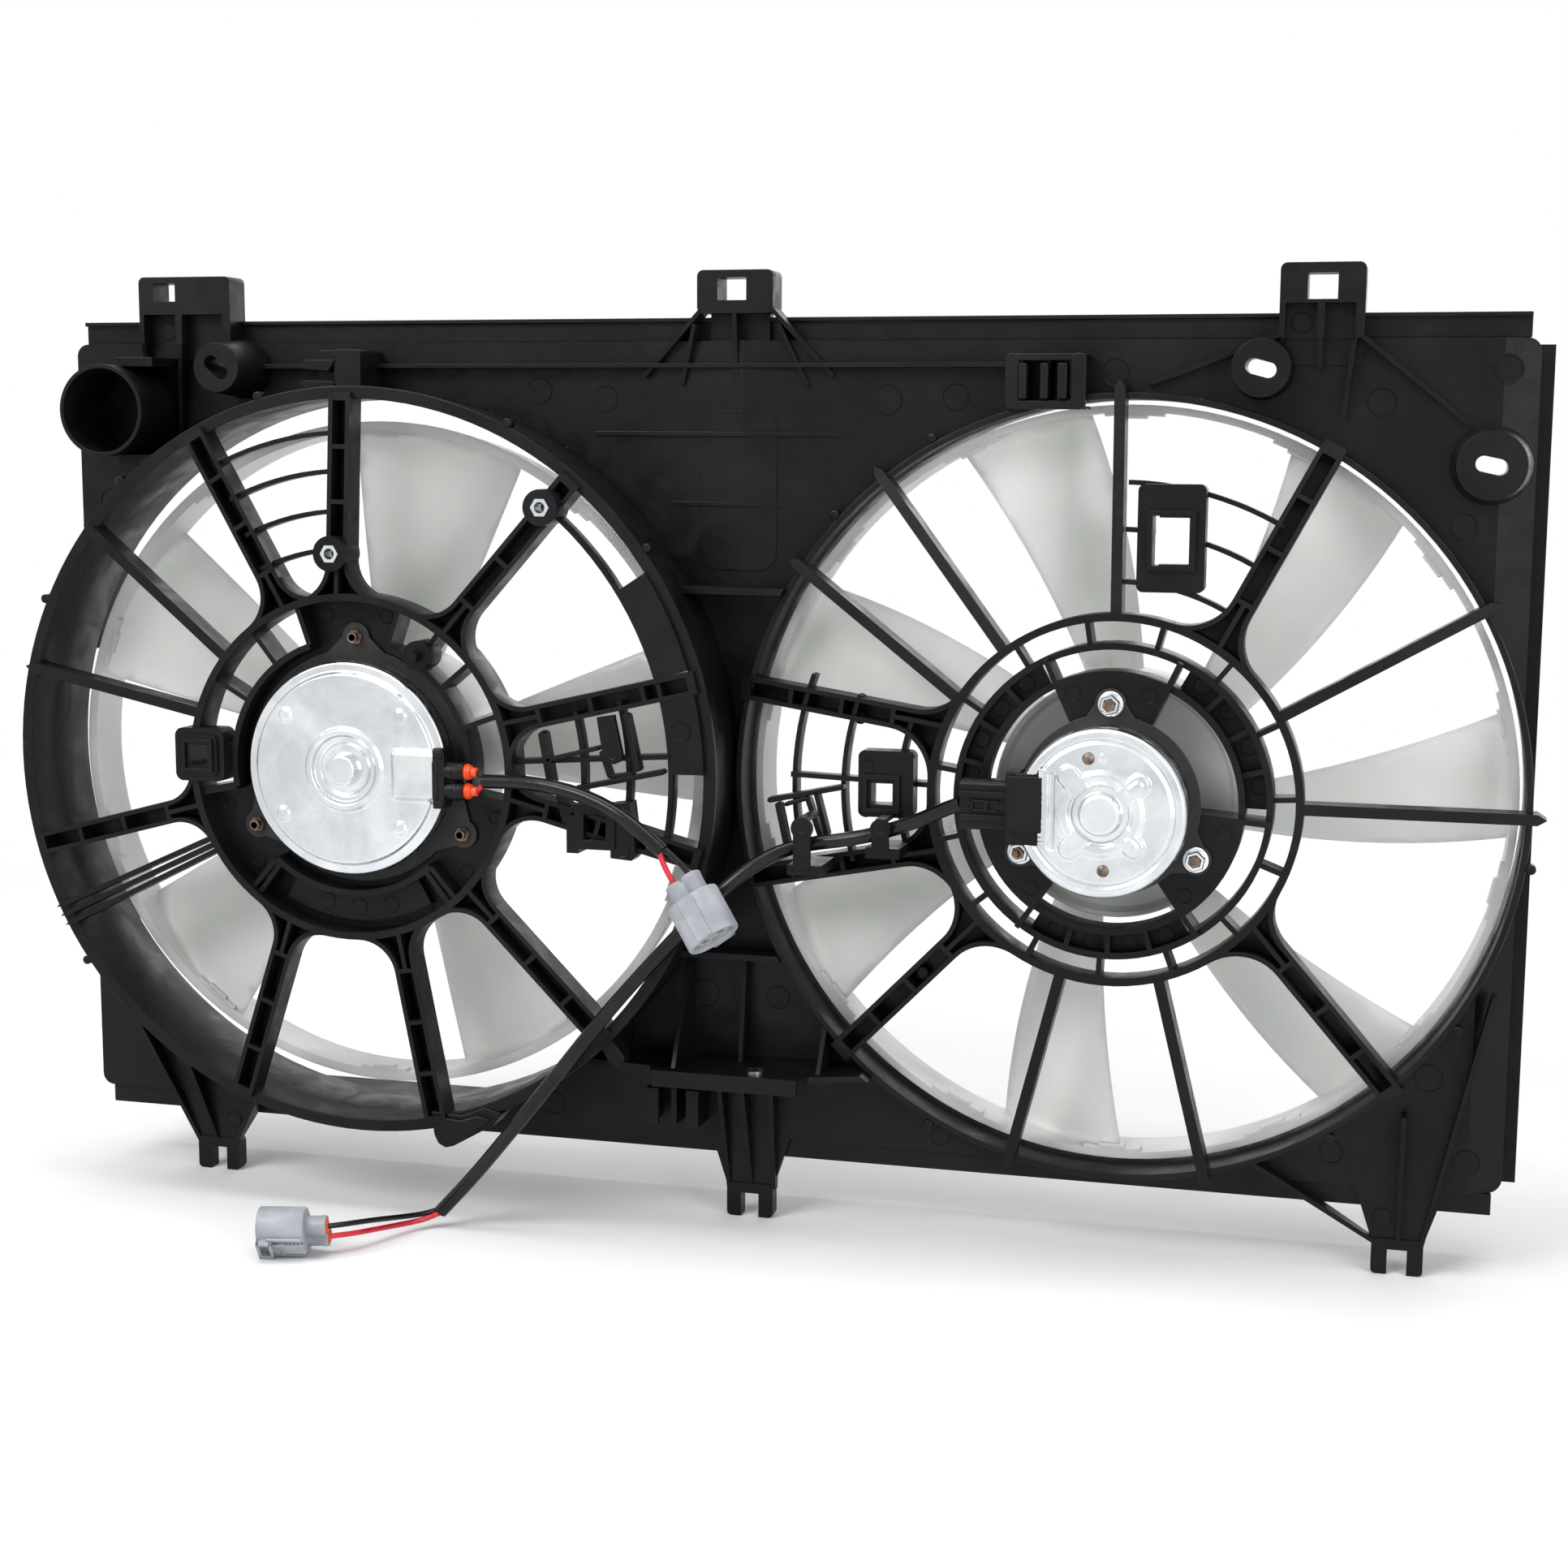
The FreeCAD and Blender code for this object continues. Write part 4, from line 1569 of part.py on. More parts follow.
def motor_nodes(side, motor):
    return {
        side + "_motor_can": motor_can(motor).cut(notch_space(motor["notch"], -90.0, motor["open_y"] + 0.2)),
        side + "_motor_cover": motor_cover(motor),
        side + "_mounting_plate": mounting_plate(motor),
        side + "_motor_bearings": bearings(motor),
        side + "_magnets": magnets(motor),
        side + "_armature": armature(motor),
        side + "_commutator": commutator(motor),
        side + "_brush_card": brush_card(motor),
        side + "_motor_shaft": motor_shaft(motor),
        side + "_fan_nut": fan_nut(motor["x"], motor["z"], motor["disc"]),
    }


def all_nodes():
    nodes = {
        "shroud_panel": shroud_panel(),
        "plenum_walls": plenum_walls(),
        "edge_lips": edge_lips(),
        "top_clips": top_clips(),
        "locating_feet": locating_feet(),
        "slotted_bosses": slotted_bosses(),
        "hose_holder": hose_holder(),
        "left_ring": left_ring(),
        "right_ring": right_ring(),
        "left_strut_frame": left_strut_frame(),
        "right_strut_frame": right_strut_frame(),
        "hex_insert_nuts": hex_insert_nuts(),
        "shelf_rivet": shelf_rivet(),
        "left_fan": left_fan(),
        "right_fan": right_fan(),
        "left_motor_screws": left_motor_screws(),
        "right_motor_studs": right_motor_studs(),
        "right_flange_nuts": right_flange_nuts(),
        "left_motor_outlet": left_motor_outlet(),
        "left_outlet_seals": left_outlet_seals(),
        "right_motor_outlet": right_motor_outlet(),
        "right_cover_rivets": cover_rivets(RIGHT_MOTOR),
    }
    nodes.update(front_details())
    nodes.update(motor_nodes("left", LEFT_MOTOR))
    nodes.update(motor_nodes("right", RIGHT_MOTOR))
    stubs = (LEFT_BLACK_STUB, LEFT_RED_STUB)
    nodes.update(lead_nodes("left", LEFT_SLEEVE_ROUTE, LEFT_BLACK_ROUTE, LEFT_RED_ROUTE, LEFT_PLUG, stubs))
    nodes.update(lead_nodes("right", RIGHT_SLEEVE_ROUTE, RIGHT_BLACK_ROUTE, RIGHT_RED_ROUTE, RIGHT_PLUG, ()))
    return nodes


os.makedirs("parts", exist_ok=True)
for name, shape in all_nodes().items():
    shape.exportStep("parts/%s.step" % name)
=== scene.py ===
import math

import bmesh
import bpy
from mathutils import Matrix, Vector


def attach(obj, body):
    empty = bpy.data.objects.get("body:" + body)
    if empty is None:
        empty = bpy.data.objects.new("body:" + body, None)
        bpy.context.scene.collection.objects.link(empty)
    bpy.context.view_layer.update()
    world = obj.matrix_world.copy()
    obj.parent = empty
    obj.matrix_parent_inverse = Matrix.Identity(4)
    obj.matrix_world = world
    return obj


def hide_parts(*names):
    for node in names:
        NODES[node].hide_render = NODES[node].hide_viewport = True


# All lengths in the shapes below are millimetres in the frame of the CAD part, unless a line says metres.
MM = 0.001
FIXED = "shroud"

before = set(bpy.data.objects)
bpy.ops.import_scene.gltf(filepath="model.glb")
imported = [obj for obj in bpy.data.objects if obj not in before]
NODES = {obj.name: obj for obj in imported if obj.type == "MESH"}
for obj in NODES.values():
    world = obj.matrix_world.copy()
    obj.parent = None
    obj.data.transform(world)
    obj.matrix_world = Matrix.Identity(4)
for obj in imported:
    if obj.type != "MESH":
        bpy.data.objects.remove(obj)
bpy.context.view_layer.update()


def in_scene(name, data):
    piece = bpy.data.objects.new(name, data)
    bpy.context.scene.collection.objects.link(piece)
    return piece


# Camera, at the place from which the photograph was taken

CAMERA_AT = Vector((0.314978, -1.11628, 0.384149))
CAMERA_YAW = 0.261
CAMERA_PITCH = 0.143
CAMERA_ROLL = 0.005
SENSOR = 36.0
PHOTO_WIDTH = 1932.0
FOCAL_LENGTH = 2977.839  # in pixels of the photograph, as its width is


def make_camera():
    level = math.cos(CAMERA_PITCH)
    forward = Vector((-math.sin(CAMERA_YAW) * level, math.cos(CAMERA_YAW) * level, -math.sin(CAMERA_PITCH)))
    side = Vector((math.cos(CAMERA_YAW), math.sin(CAMERA_YAW), 0.0))
    above = side.cross(forward)
    turn, lean = math.cos(CAMERA_ROLL), math.sin(CAMERA_ROLL)
    right = side * turn + above * lean
    up = above * turn - side * lean
    data = bpy.data.cameras.new("Camera")
    data.sensor_width = SENSOR
    data.lens = SENSOR * FOCAL_LENGTH / PHOTO_WIDTH
    data.clip_start = 0.05
    data.clip_end = 60.0
    camera = in_scene("Camera", data)
    facing = Matrix((right, up, -forward)).transposed().to_4x4()
    camera.matrix_world = Matrix.Translation(CAMERA_AT) @ facing
    bpy.context.scene.camera = camera
    bpy.context.scene.view_settings.view_transform = "Standard"


# Materials: every one is procedural, in the coordinates of the part's own frame

def new_material(name):
    material = bpy.data.materials.new(name)
    material.use_nodes = True
    tree = material.node_tree
    return material, tree, tree.nodes["Principled BSDF"]


def set_inputs(node, values):
    for name, value in values.items():
        node.inputs[name].default_value = value


def noise(tree, place, scale, detail, distortion=0.0):
    node = tree.nodes.new("ShaderNodeTexNoise")
    set_inputs(node, {"Scale": scale, "Detail": detail, "Distortion": distortion, "Roughness": 0.5})
    tree.links.new(place, node.inputs["Vector"])
    return node.outputs["Fac"]


def remap(tree, value, low, high, out_low=0.0, out_high=1.0):
    node = tree.nodes.new("ShaderNodeMapRange")
    node.interpolation_type = "SMOOTHSTEP"
    set_inputs(node, {"From Min": low, "From Max": high, "To Min": out_low, "To Max": out_high})
    tree.links.new(value, node.inputs["Value"])
    return node.outputs["Result"]


def mixed(tree, share, first, second):
    node = tree.nodes.new("ShaderNodeMix")
    node.data_type = "RGBA"
    set_inputs(node, {"A": (*first, 1.0), "B": (*second, 1.0)})
    tree.links.new(share, node.inputs["Factor"])
    return node.outputs["Result"]


def bump(tree, height, depth, normal=None):
    node = tree.nodes.new("ShaderNodeBump")
    set_inputs(node, {"Distance": depth, "Strength": 0.6})
    tree.links.new(height, node.inputs["Height"])
    if normal is not None:
        tree.links.new(normal, node.inputs["Normal"])
    return node.outputs["Normal"]


def surface(name, dark, light, rough, grain, patches=60.0, patch_edge=(0.38, 0.62), metallic=0.0,
            specular=0.5, second_grain=None):
    """Material whose colour and roughness drift over patches; a grain is a scale and a depth of bump."""
    material, tree, shader = new_material(name)
    place = tree.nodes.new("ShaderNodeTexCoord").outputs["Object"]
    drift = remap(tree, noise(tree, place, patches, 4.0, 0.6), *patch_edge)
    tree.links.new(mixed(tree, drift, dark, light), shader.inputs["Base Color"])
    sheen = noise(tree, place, patches * 2.7, 3.0, 1.2)
    tree.links.new(remap(tree, sheen, 0.3, 0.7, *rough), shader.inputs["Roughness"])
    scale, depth = grain
    normal = bump(tree, noise(tree, place, scale, 2.0), depth)
    if second_grain:
        scale, depth = second_grain
        normal = bump(tree, noise(tree, place, scale, 3.0), depth, normal)
    tree.links.new(normal, shader.inputs["Normal"])
    set_inputs(shader, {"Metallic": metallic, "Specular IOR Level": specular})
    return material


# Dark and light colour, range of roughness, grain as (scale, depth in metres), and what isn't as usual
SURFACES = {
    "shroud_plastic": ((0.0030, 0.0031, 0.0038), (0.0068, 0.0070, 0.0086), (0.30, 0.50), (1500.0, 0.00008),
                       dict(patches=16.0, patch_edge=(0.35, 0.72), specular=0.17,
                            second_grain=(190.0, 0.00020))),
    "fan_plastic": ((0.655, 0.668, 0.640), (0.735, 0.744, 0.715), (0.34, 0.48), (420.0, 0.00006),
                    dict(patches=11.0, patch_edge=(0.3, 0.7))),
    "zinc_plate": ((0.60, 0.63, 0.66), (0.78, 0.80, 0.81), (0.19, 0.31), (900.0, 0.00004),
                   dict(patches=34.0, patch_edge=(0.32, 0.7), metallic=1.0, second_grain=(120.0, 0.00005))),
    "dark_steel": ((0.012, 0.0115, 0.0115), (0.028, 0.025, 0.023), (0.42, 0.6), (1100.0, 0.00012),
                   dict(patches=30.0, patch_edge=(0.3, 0.8), metallic=0.35)),
    "fastener_steel": ((0.10, 0.066, 0.048), (0.24, 0.18, 0.14), (0.3, 0.5), (900.0, 0.00008),
                       dict(patches=240.0, patch_edge=(0.35, 0.65), metallic=0.8)),
    "bright_steel": ((0.55, 0.56, 0.57), (0.70, 0.70, 0.70), (0.18, 0.3), (700.0, 0.00003),
                     dict(metallic=1.0)),
    "ferrite": ((0.06, 0.06, 0.065), (0.12, 0.12, 0.12), (0.5, 0.7), (600.0, 0.0001), {}),
    "core_steel": ((0.22, 0.22, 0.23), (0.32, 0.31, 0.3), (0.3, 0.5), (700.0, 0.0001), dict(metallic=0.9)),
    "copper": ((0.66, 0.36, 0.2), (0.78, 0.48, 0.28), (0.2, 0.35), (500.0, 0.00005), dict(metallic=1.0)),
    "card_plastic": ((0.32, 0.2, 0.09), (0.46, 0.3, 0.15), (0.4, 0.6), (600.0, 0.0001), {}),
    "outlet_plastic": ((0.0035, 0.0036, 0.0042), (0.008, 0.008, 0.009), (0.3, 0.46), (1600.0, 0.00007),
                       dict(patches=40.0, specular=0.2)),
    "seal_rubber": ((0.66, 0.045, 0.006), (0.82, 0.085, 0.012), (0.3, 0.46), (700.0, 0.00005),
                    dict(patches=120.0)),
    "connector_plastic": ((0.27, 0.285, 0.31), (0.35, 0.365, 0.39), (0.38, 0.52), (1300.0, 0.00006), {}),
    "terminal_brass": ((0.6, 0.53, 0.36), (0.74, 0.66, 0.46), (0.2, 0.35), (600.0, 0.00004),
                       dict(patches=90.0, metallic=1.0)),
    "sleeve_plastic": ((0.0035, 0.0035, 0.0040), (0.008, 0.008, 0.009), (0.16, 0.28), (260.0, 0.00018),
                       dict(patches=40.0, specular=0.28)),
    "black_insulation": ((0.004, 0.004, 0.005), (0.009, 0.009, 0.010), (0.24, 0.38), (500.0, 0.00006),
                         dict(specular=0.25)),
    "red_insulation": ((0.52, 0.008, 0.022), (0.68, 0.016, 0.04), (0.26, 0.4), (500.0, 0.00006), {}),
}


def make_translucent(material):
    """Light passes into the milky plastic and a little of it goes through."""
    set_inputs(material.node_tree.nodes["Principled BSDF"], {
        "Subsurface Weight": 0.35,
        "Subsurface Radius": (0.9, 1.0, 0.8),
        "Subsurface Scale": 0.006,
        "Transmission Weight": 0.12,
    })


def build_materials():
    made = {}
    for name, (dark, light, rough, grain, others) in SURFACES.items():
        made[name] = surface(name, dark, light, rough, grain, **others)
    make_translucent(made["fan_plastic"])
    return made


make_camera()
MATERIALS = build_materials()


# Cords: the routes of the CAD part's leads, in metres

LEFT_SLEEVE_ROUTE = (
    (-0.1137, -0.0605, 0.2219),
    (-0.1021, -0.0628, 0.2226),
    (-0.0873, -0.0665, 0.2229),
    (-0.0722, -0.0700, 0.2216),
    (-0.0572, -0.0730, 0.2184),
    (-0.0431, -0.0760, 0.2129),
    (-0.0310, -0.0776, 0.2052),
    (-0.0202, -0.0780, 0.1960),
)
LEFT_RED_ROUTE = (
    (-0.0211, -0.0780, 0.1948),
    (-0.0193, -0.0781, 0.1901),
    (-0.0166, -0.0783, 0.1850),
    (-0.0135, -0.0785, 0.1804),
)
LEFT_BLACK_ROUTE = (
    (-0.0193, -0.0780, 0.1972),
    (-0.0154, -0.0780, 0.1943),
    (-0.0106, -0.0782, 0.1901),
    (-0.0065, -0.0785, 0.1856),
)
RIGHT_SLEEVE_ROUTE = (
    (0.1156, -0.0620, 0.2216),
    (0.1080, -0.0600, 0.2186),
    (0.0970, -0.0550, 0.2129),
    (0.0840, -0.0500, 0.2073),
    (0.0700, -0.0466, 0.2024),
    (0.0560, -0.0454, 0.1994),
    (0.0420, -0.0462, 0.1974),
    (0.0290, -0.0498, 0.1940),
    (0.0170, -0.0560, 0.1872),
    (0.0058, -0.0605, 0.1778),
    (-0.0058, -0.0622, 0.1660),
    (-0.0235, -0.0632, 0.1472),
    (-0.0432, -0.0634, 0.1254),
    (-0.0636, -0.0626, 0.1006),
    (-0.0847, -0.0614, 0.0736),
    (-0.1065, -0.0594, 0.0468),
    (-0.1244, -0.0580, 0.0252),
    (-0.1405, -0.0576, 0.0080),
)
RIGHT_RED_ROUTE = (
    (-0.1402, -0.0590, 0.0077),
    (-0.1460, -0.0626, 0.0052),
    (-0.1520, -0.0686, 0.0046),
    (-0.1574, -0.0770, 0.0052),
    (-0.1616, -0.0868, 0.0064),
    (-0.1650, -0.0956, 0.0076),
    (-0.1692, -0.1032, 0.0085),
    (-0.1752, -0.1088, 0.0088),
)
RIGHT_BLACK_ROUTE = (
    (-0.1413, -0.0567, 0.0088),
    (-0.1472, -0.0610, 0.0072),
    (-0.1524, -0.0684, 0.0080),
    (-0.1562, -0.0780, 0.0098),
    (-0.1588, -0.0880, 0.0120),
    (-0.1614, -0.0970, 0.0138),
    (-0.1648, -0.1046, 0.0150),
    (-0.1690, -0.1104, 0.0155),
    (-0.1738, -0.1142, 0.0156),
)
SLEEVE_DIAMETER = 0.0068
WIRE_DIAMETER = 0.0026


def strand(name, points, diameter, slot_name):
    """One smooth tube along the points of a lead."""
    curve = bpy.data.curves.new(name, "CURVE")
    curve.dimensions = "3D"
    spline = curve.splines.new("NURBS")
    spline.points.add(len(points) - 1)
    for point, place in zip(spline.points, points):
        point.co = (*place, 1.0)
    spline.order_u = 3
    spline.use_endpoint_u = True
    spline.resolution_u = 12
    spline.use_smooth = True
    curve.bevel_depth = diameter / 2.0
    curve.bevel_resolution = 5
    curve.use_fill_caps = True
    curve.materials.append(MATERIALS[slot_name])
    piece = in_scene(name, curve)
    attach(piece, FIXED)
    return piece


# Mesh forms

class Form:
    """Closed simple solids gathered in one mesh, in millimetres."""

    def __init__(self):
        self.bm = bmesh.new()

    def faces_from(self, low, high):
        """Two loops of the same length joined by sides and closed by their own faces."""
        bottom = [self.bm.verts.new(p) for p in low]
        top = [self.bm.verts.new(p) for p in high]
        count = len(bottom)
        self.bm.faces.new(list(reversed(bottom)))
        self.bm.faces.new(top)
        for i in range(count):
            j = (i + 1) % count
            self.bm.faces.new((bottom[i], bottom[j], top[j], top[i]))

    def box(self, x0, x1, y0, y1, z0, z1):
        low = [(x0, y0, z0), (x1, y0, z0), (x1, y1, z0), (x0, y1, z0)]
        high = [(x, y, z1) for x, y, z in low]
        self.faces_from(low, high)
        return self

    def prism_y(self, outline, y0, y1):
        """Outline of (x, z) points, from y0 to y1."""
        low = [(x, y1, z) for x, z in outline]
        high = [(x, y0, z) for x, z in outline]
        self.faces_from(low, high)
        return self

    def prism_x(self, outline, x0, x1):
        """Outline of (y, z) points, from x0 to x1."""
        self.faces_from([(x0, y, z) for y, z in outline], [(x1, y, z) for y, z in outline])
        return self

    def lathe(self, origin, axis, rows, steps=48, start=0.0):
        """Rows of (radius, height) turned about an axis; a zero radius closes it to a point."""
        origin = Vector(origin)
        axis = Vector(axis).normalized()
        helper = Vector((0, 0, 1)) if abs(axis.z) < 0.9 else Vector((1, 0, 0))
        across = axis.cross(helper).normalized()
        other = axis.cross(across)
        loops = []
        for radius, height in rows:
            centre = origin + axis * height
            if radius <= 1e-6:
                loops.append([self.bm.verts.new(centre)])
                continue
            loop = []
            for step in range(steps):
                angle = start + 2.0 * math.pi * step / steps
                outward = across * math.cos(angle) + other * math.sin(angle)
                loop.append(self.bm.verts.new(centre + outward * radius))
            loops.append(loop)
        for first, second in zip(loops, loops[1:]):
            for i in range(steps):
                j = (i + 1) % steps
                if len(first) == 1 and len(second) > 1:
                    self.bm.faces.new((first[0], second[j], second[i]))
                elif len(second) == 1 and len(first) > 1:
                    self.bm.faces.new((first[i], first[j], second[0]))
                elif len(first) > 1:
                    self.bm.faces.new((first[i], first[j], second[j], second[i]))
        return self

    def place(self, matrix):
        bmesh.ops.transform(self.bm, matrix=matrix, verts=self.bm.verts)
        return self

    def mesh(self, name):
        """The gathered solids as a mesh in metres."""
        bmesh.ops.recalc_face_normals(self.bm, faces=self.bm.faces)
        bmesh.ops.scale(self.bm, vec=(MM, MM, MM), verts=self.bm.verts)
        mesh = bpy.data.meshes.new(name)
        self.bm.to_mesh(mesh)
        self.bm.free()
        return mesh

    def make(self, name, slot_name="shroud_plastic", bevel=0.0, smooth=35.0, segments=2, replaces=(),
             body=FIXED):
        return finish_mesh(name, self.mesh(name), slot_name, bevel, smooth, segments, replaces, body)


def finish_mesh(name, mesh, slot_name, bevel, smooth, segments=2, replaces=(), body=FIXED):
    mesh.materials.append(MATERIALS[slot_name])
    mesh.shade_smooth()
    mesh.set_sharp_from_angle(angle=math.radians(smooth))
    piece = in_scene(name, mesh)
    if bevel:
        add_bevel(piece, bevel, segments)
    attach(piece, body)
    if replaces:
        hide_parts(*replaces)
    return piece


def add_bevel(piece, width, segments=2, angle=38.0):
    modifier = piece.modifiers.new("Edges", "BEVEL")
    modifier.width = width * MM
    modifier.segments = segments
    modifier.limit_method = "ANGLE"
    modifier.angle_limit = math.radians(angle)
    modifier.use_clamp_overlap = True


def polar(centre, radius, degrees):
    angle = math.radians(degrees)
    return centre[0] + radius * math.cos(angle), centre[1] + radius * math.sin(angle)


def smooth_step(low, high, value):
    share = min(1.0, max(0.0, (value - low) / (high - low)))
    return share * share * (3.0 - 2.0 * share)


def capsule_distance(x, z, start, end):
    dx, dz = end[0] - start[0], end[1] - start[1]
    share = ((x - start[0]) * dx + (z - start[1]) * dz) / max(dx * dx + dz * dz, 1e-9)
    share = min(1.0, max(0.0, share))
    return math.hypot(x - start[0] - share * dx, z - start[1] - share * dz)


def box_distance(x, z, x0, x1, z0, z1):
    """Distance outside a rectangle, negative inside it."""
    dx = max(x0 - x, x - x1)
    dz = max(z0 - z, z - z1)
    if dx <= 0.0 and dz <= 0.0:
        return max(dx, dz)
    return math.hypot(max(dx, 0.0), max(dz, 0.0))


# Pressed motor covers: a polar sheet whose height follows the stamped form

LEFT_AXIS = (-185.0, 224.8)
RIGHT_AXIS = (179.5, 221.5)
LEFT_FACE_Y = -61.5
RIGHT_FACE_Y = -75.0


def profile_height(rows, radius):
    """Smooth height between neighbouring (radius, rise) rows."""
    for (r0, h0), (r1, h1) in zip(rows, rows[1:]):
        if radius <= r1:
            return h0 + (h1 - h0) * smooth_step(r0, r1, radius)
    return rows[-1][1]


MIDDLE = (0.0, 0.0)
LEFT_FLAT_FROM = 21.0
LEFT_FLAT_TO = 45.4
LEFT_COVER_ROWS = ((0.0, 5.2), (6.4, 5.2), (7.4, 4.2), (8.2, -1.6), (11.6, -1.9), (13.6, -0.7), (15.4, -0.6),
                   (17.2, 1.5), (18.6, 1.7), (LEFT_FLAT_FROM, 0.0), (LEFT_FLAT_TO, 0.0), (47.4, -2.3),
                   (50.9, -2.5), (51.8, -4.4))
RIGHT_COVER_ROWS = ((0.0, 4.6), (7.8, 4.6), (8.9, 3.6), (10.0, -0.6), (12.2, -0.9), (15.0, 1.2), (17.2, 1.4),
                    (20.0, 0.0), (30.6, 0.0), (32.2, -1.1), (33.6, -0.2), (36.0, -0.4), (37.4, -1.6),
                    (37.8, -3.2))
BUTTON_RADIUS = 39.5
BUTTON_ANGLES = (140.0, 42.0, -145.0, -44.0)
BUTTON_RISE = 1.3
LEFT_PAD = (27.0, 60.0, -11.2, 8.4)
PAD_RISE = 2.0


def left_cover_rise(x, z):
    radius = math.hypot(x, z)
    rise = profile_height(LEFT_COVER_ROWS, radius)
    for degrees in BUTTON_ANGLES:
        bx, bz = polar(MIDDLE, BUTTON_RADIUS, degrees)
        rise += BUTTON_RISE * (1.0 - smooth_step(2.5, 3.7, math.hypot(x - bx, z - bz)))
    pad = 1.0 - smooth_step(0.0, 3.2, box_distance(x, z, *LEFT_PAD))
    if LEFT_FLAT_FROM < radius < LEFT_FLAT_TO:
        return max(rise, 0.0) + pad * PAD_RISE
    if radius >= LEFT_FLAT_TO:
        return rise + pad * (PAD_RISE - min(0.0, rise))
    return rise


RIGHT_ARM_ENDS = ((25.5, 39.0), (24.5, -43.0))
RIGHT_WING_ENDS = ((25.5, 131.0), (24.5, -130.0))
RIGHT_BOSS_TO = 12.4
RIGHT_FLAT_TO = 31.0
RIGHT_STEP_X = -21.5


def right_cover_rise(x, z):
    radius = math.hypot(x, z)
    rise = profile_height(RIGHT_COVER_ROWS, radius)
    raised = 0.0
    for end_r, degrees in RIGHT_ARM_ENDS + RIGHT_WING_ENDS:
        end = polar(MIDDLE, end_r - 4.0, degrees)
        start = polar(MIDDLE, 13.0, degrees)
        away = capsule_distance(x, z, start, end)
        raised = max(raised, 1.5 * (1.0 - smooth_step(3.6, 5.6, away)))
    for end_r, degrees in RIGHT_ARM_ENDS:
        end = polar(MIDDLE, end_r - 4.5, degrees)
        start = polar(MIDDLE, 17.5, degrees)
        raised += 0.9 * (1.0 - smooth_step(1.2, 2.8, capsule_distance(x, z, start, end)))
    if radius > RIGHT_BOSS_TO:
        rise = max(rise, raised) if radius < RIGHT_FLAT_TO else rise + raised
    for degrees in (-88.0, 88.0):
        bump_x, bump_z = polar(MIDDLE, 25.0, degrees)
        rise += 0.5 * (1.0 - smooth_step(0.6, 2.6, math.hypot(x - bump_x, z - bump_z)))
    if abs(z) < 17.0:
        rise -= 1.2 * (1.0 - smooth_step(0.5, 2.0, abs(x - RIGHT_STEP_X)))
    return rise


COVER_STEPS = 300
COVER_SPACING = 0.55
COVER_SHEET = 0.9


def pressed_cover(name, axis, face_y, rows, rise_at, side_end, notch, replaced):
    """Stamped disc with its rolled rim and side wall, cut away where the lead outlet stands."""
    bm = bmesh.new()
    steps = COVER_STEPS
    outer = rows[-1][0]
    count = int(outer / COVER_SPACING)
    loops = []
    centre = bm.verts.new((axis[0], face_y - rise_at(0.0, 0.0), axis[1]))
    for ring in range(1, count + 1):
        radius = outer * ring / count
        loop = []
        for step in range(steps):
            angle = 2.0 * math.pi * step / steps
            x, z = radius * math.cos(angle), radius * math.sin(angle)
            loop.append(bm.verts.new((axis[0] + x, face_y - rise_at(x, z), axis[1] + z)))
        loops.append(loop)
    for depth in (0.25, 0.6, 1.0):
        base = loops[count - 1]
        loops.append([bm.verts.new((v.co.x, v.co.y + (side_end - v.co.y) * depth, v.co.z)) for v in base])
    for i in range(steps):
        bm.faces.new((centre, loops[0][i], loops[0][(i + 1) % steps]))
    for first, second in zip(loops, loops[1:]):
        for i in range(steps):
            j = (i + 1) % steps
            bm.faces.new((first[i], second[i], second[j], first[j]))
    x0, x1, z0, z1 = notch
    across, upward = (1, 0, 0), (0, 0, 1)
    for co, no in (((x0, 0, 0), across), ((x1, 0, 0), across), ((0, 0, z0), upward), ((0, 0, z1), upward)):
        everything = bm.verts[:] + bm.edges[:] + bm.faces[:]
        bmesh.ops.bisect_plane(bm, geom=everything, plane_co=co, plane_no=no, dist=1e-4)
    inside = []
    for face in bm.faces:
        middle = face.calc_center_median()
        if x0 < middle.x < x1 and z0 < middle.z < z1:
            inside.append(face)
    bmesh.ops.delete(bm, geom=inside, context="FACES")
    bmesh.ops.recalc_face_normals(bm, faces=bm.faces)
    bmesh.ops.scale(bm, vec=(MM, MM, MM), verts=bm.verts)
    mesh = bpy.data.meshes.new(name)
    bm.to_mesh(mesh)
    bm.free()
    piece = finish_mesh(name, mesh, "zinc_plate", 0.0, 50.0, replaces=replaced)
    wall = piece.modifiers.new("Sheet", "SOLIDIFY")
    wall.thickness = COVER_SHEET * MM
    wall.offset = -1.0
    return piece


def motor_covers():
    pressed_cover("left_cover_pressing", LEFT_AXIS, LEFT_FACE_Y, LEFT_COVER_ROWS, left_cover_rise, -54.4,
                  (-138.4, -120.0, 209.6, 234.6), ("left_motor_cover",))
    pressed_cover("right_cover_pressing", RIGHT_AXIS, RIGHT_FACE_Y, RIGHT_COVER_ROWS, right_cover_rise, -68.0,
                  (120.0, 153.6, 206.2, 237.8), ("right_motor_cover",))


# CAD nodes that stay: their material, and softened edges on the moulded ones

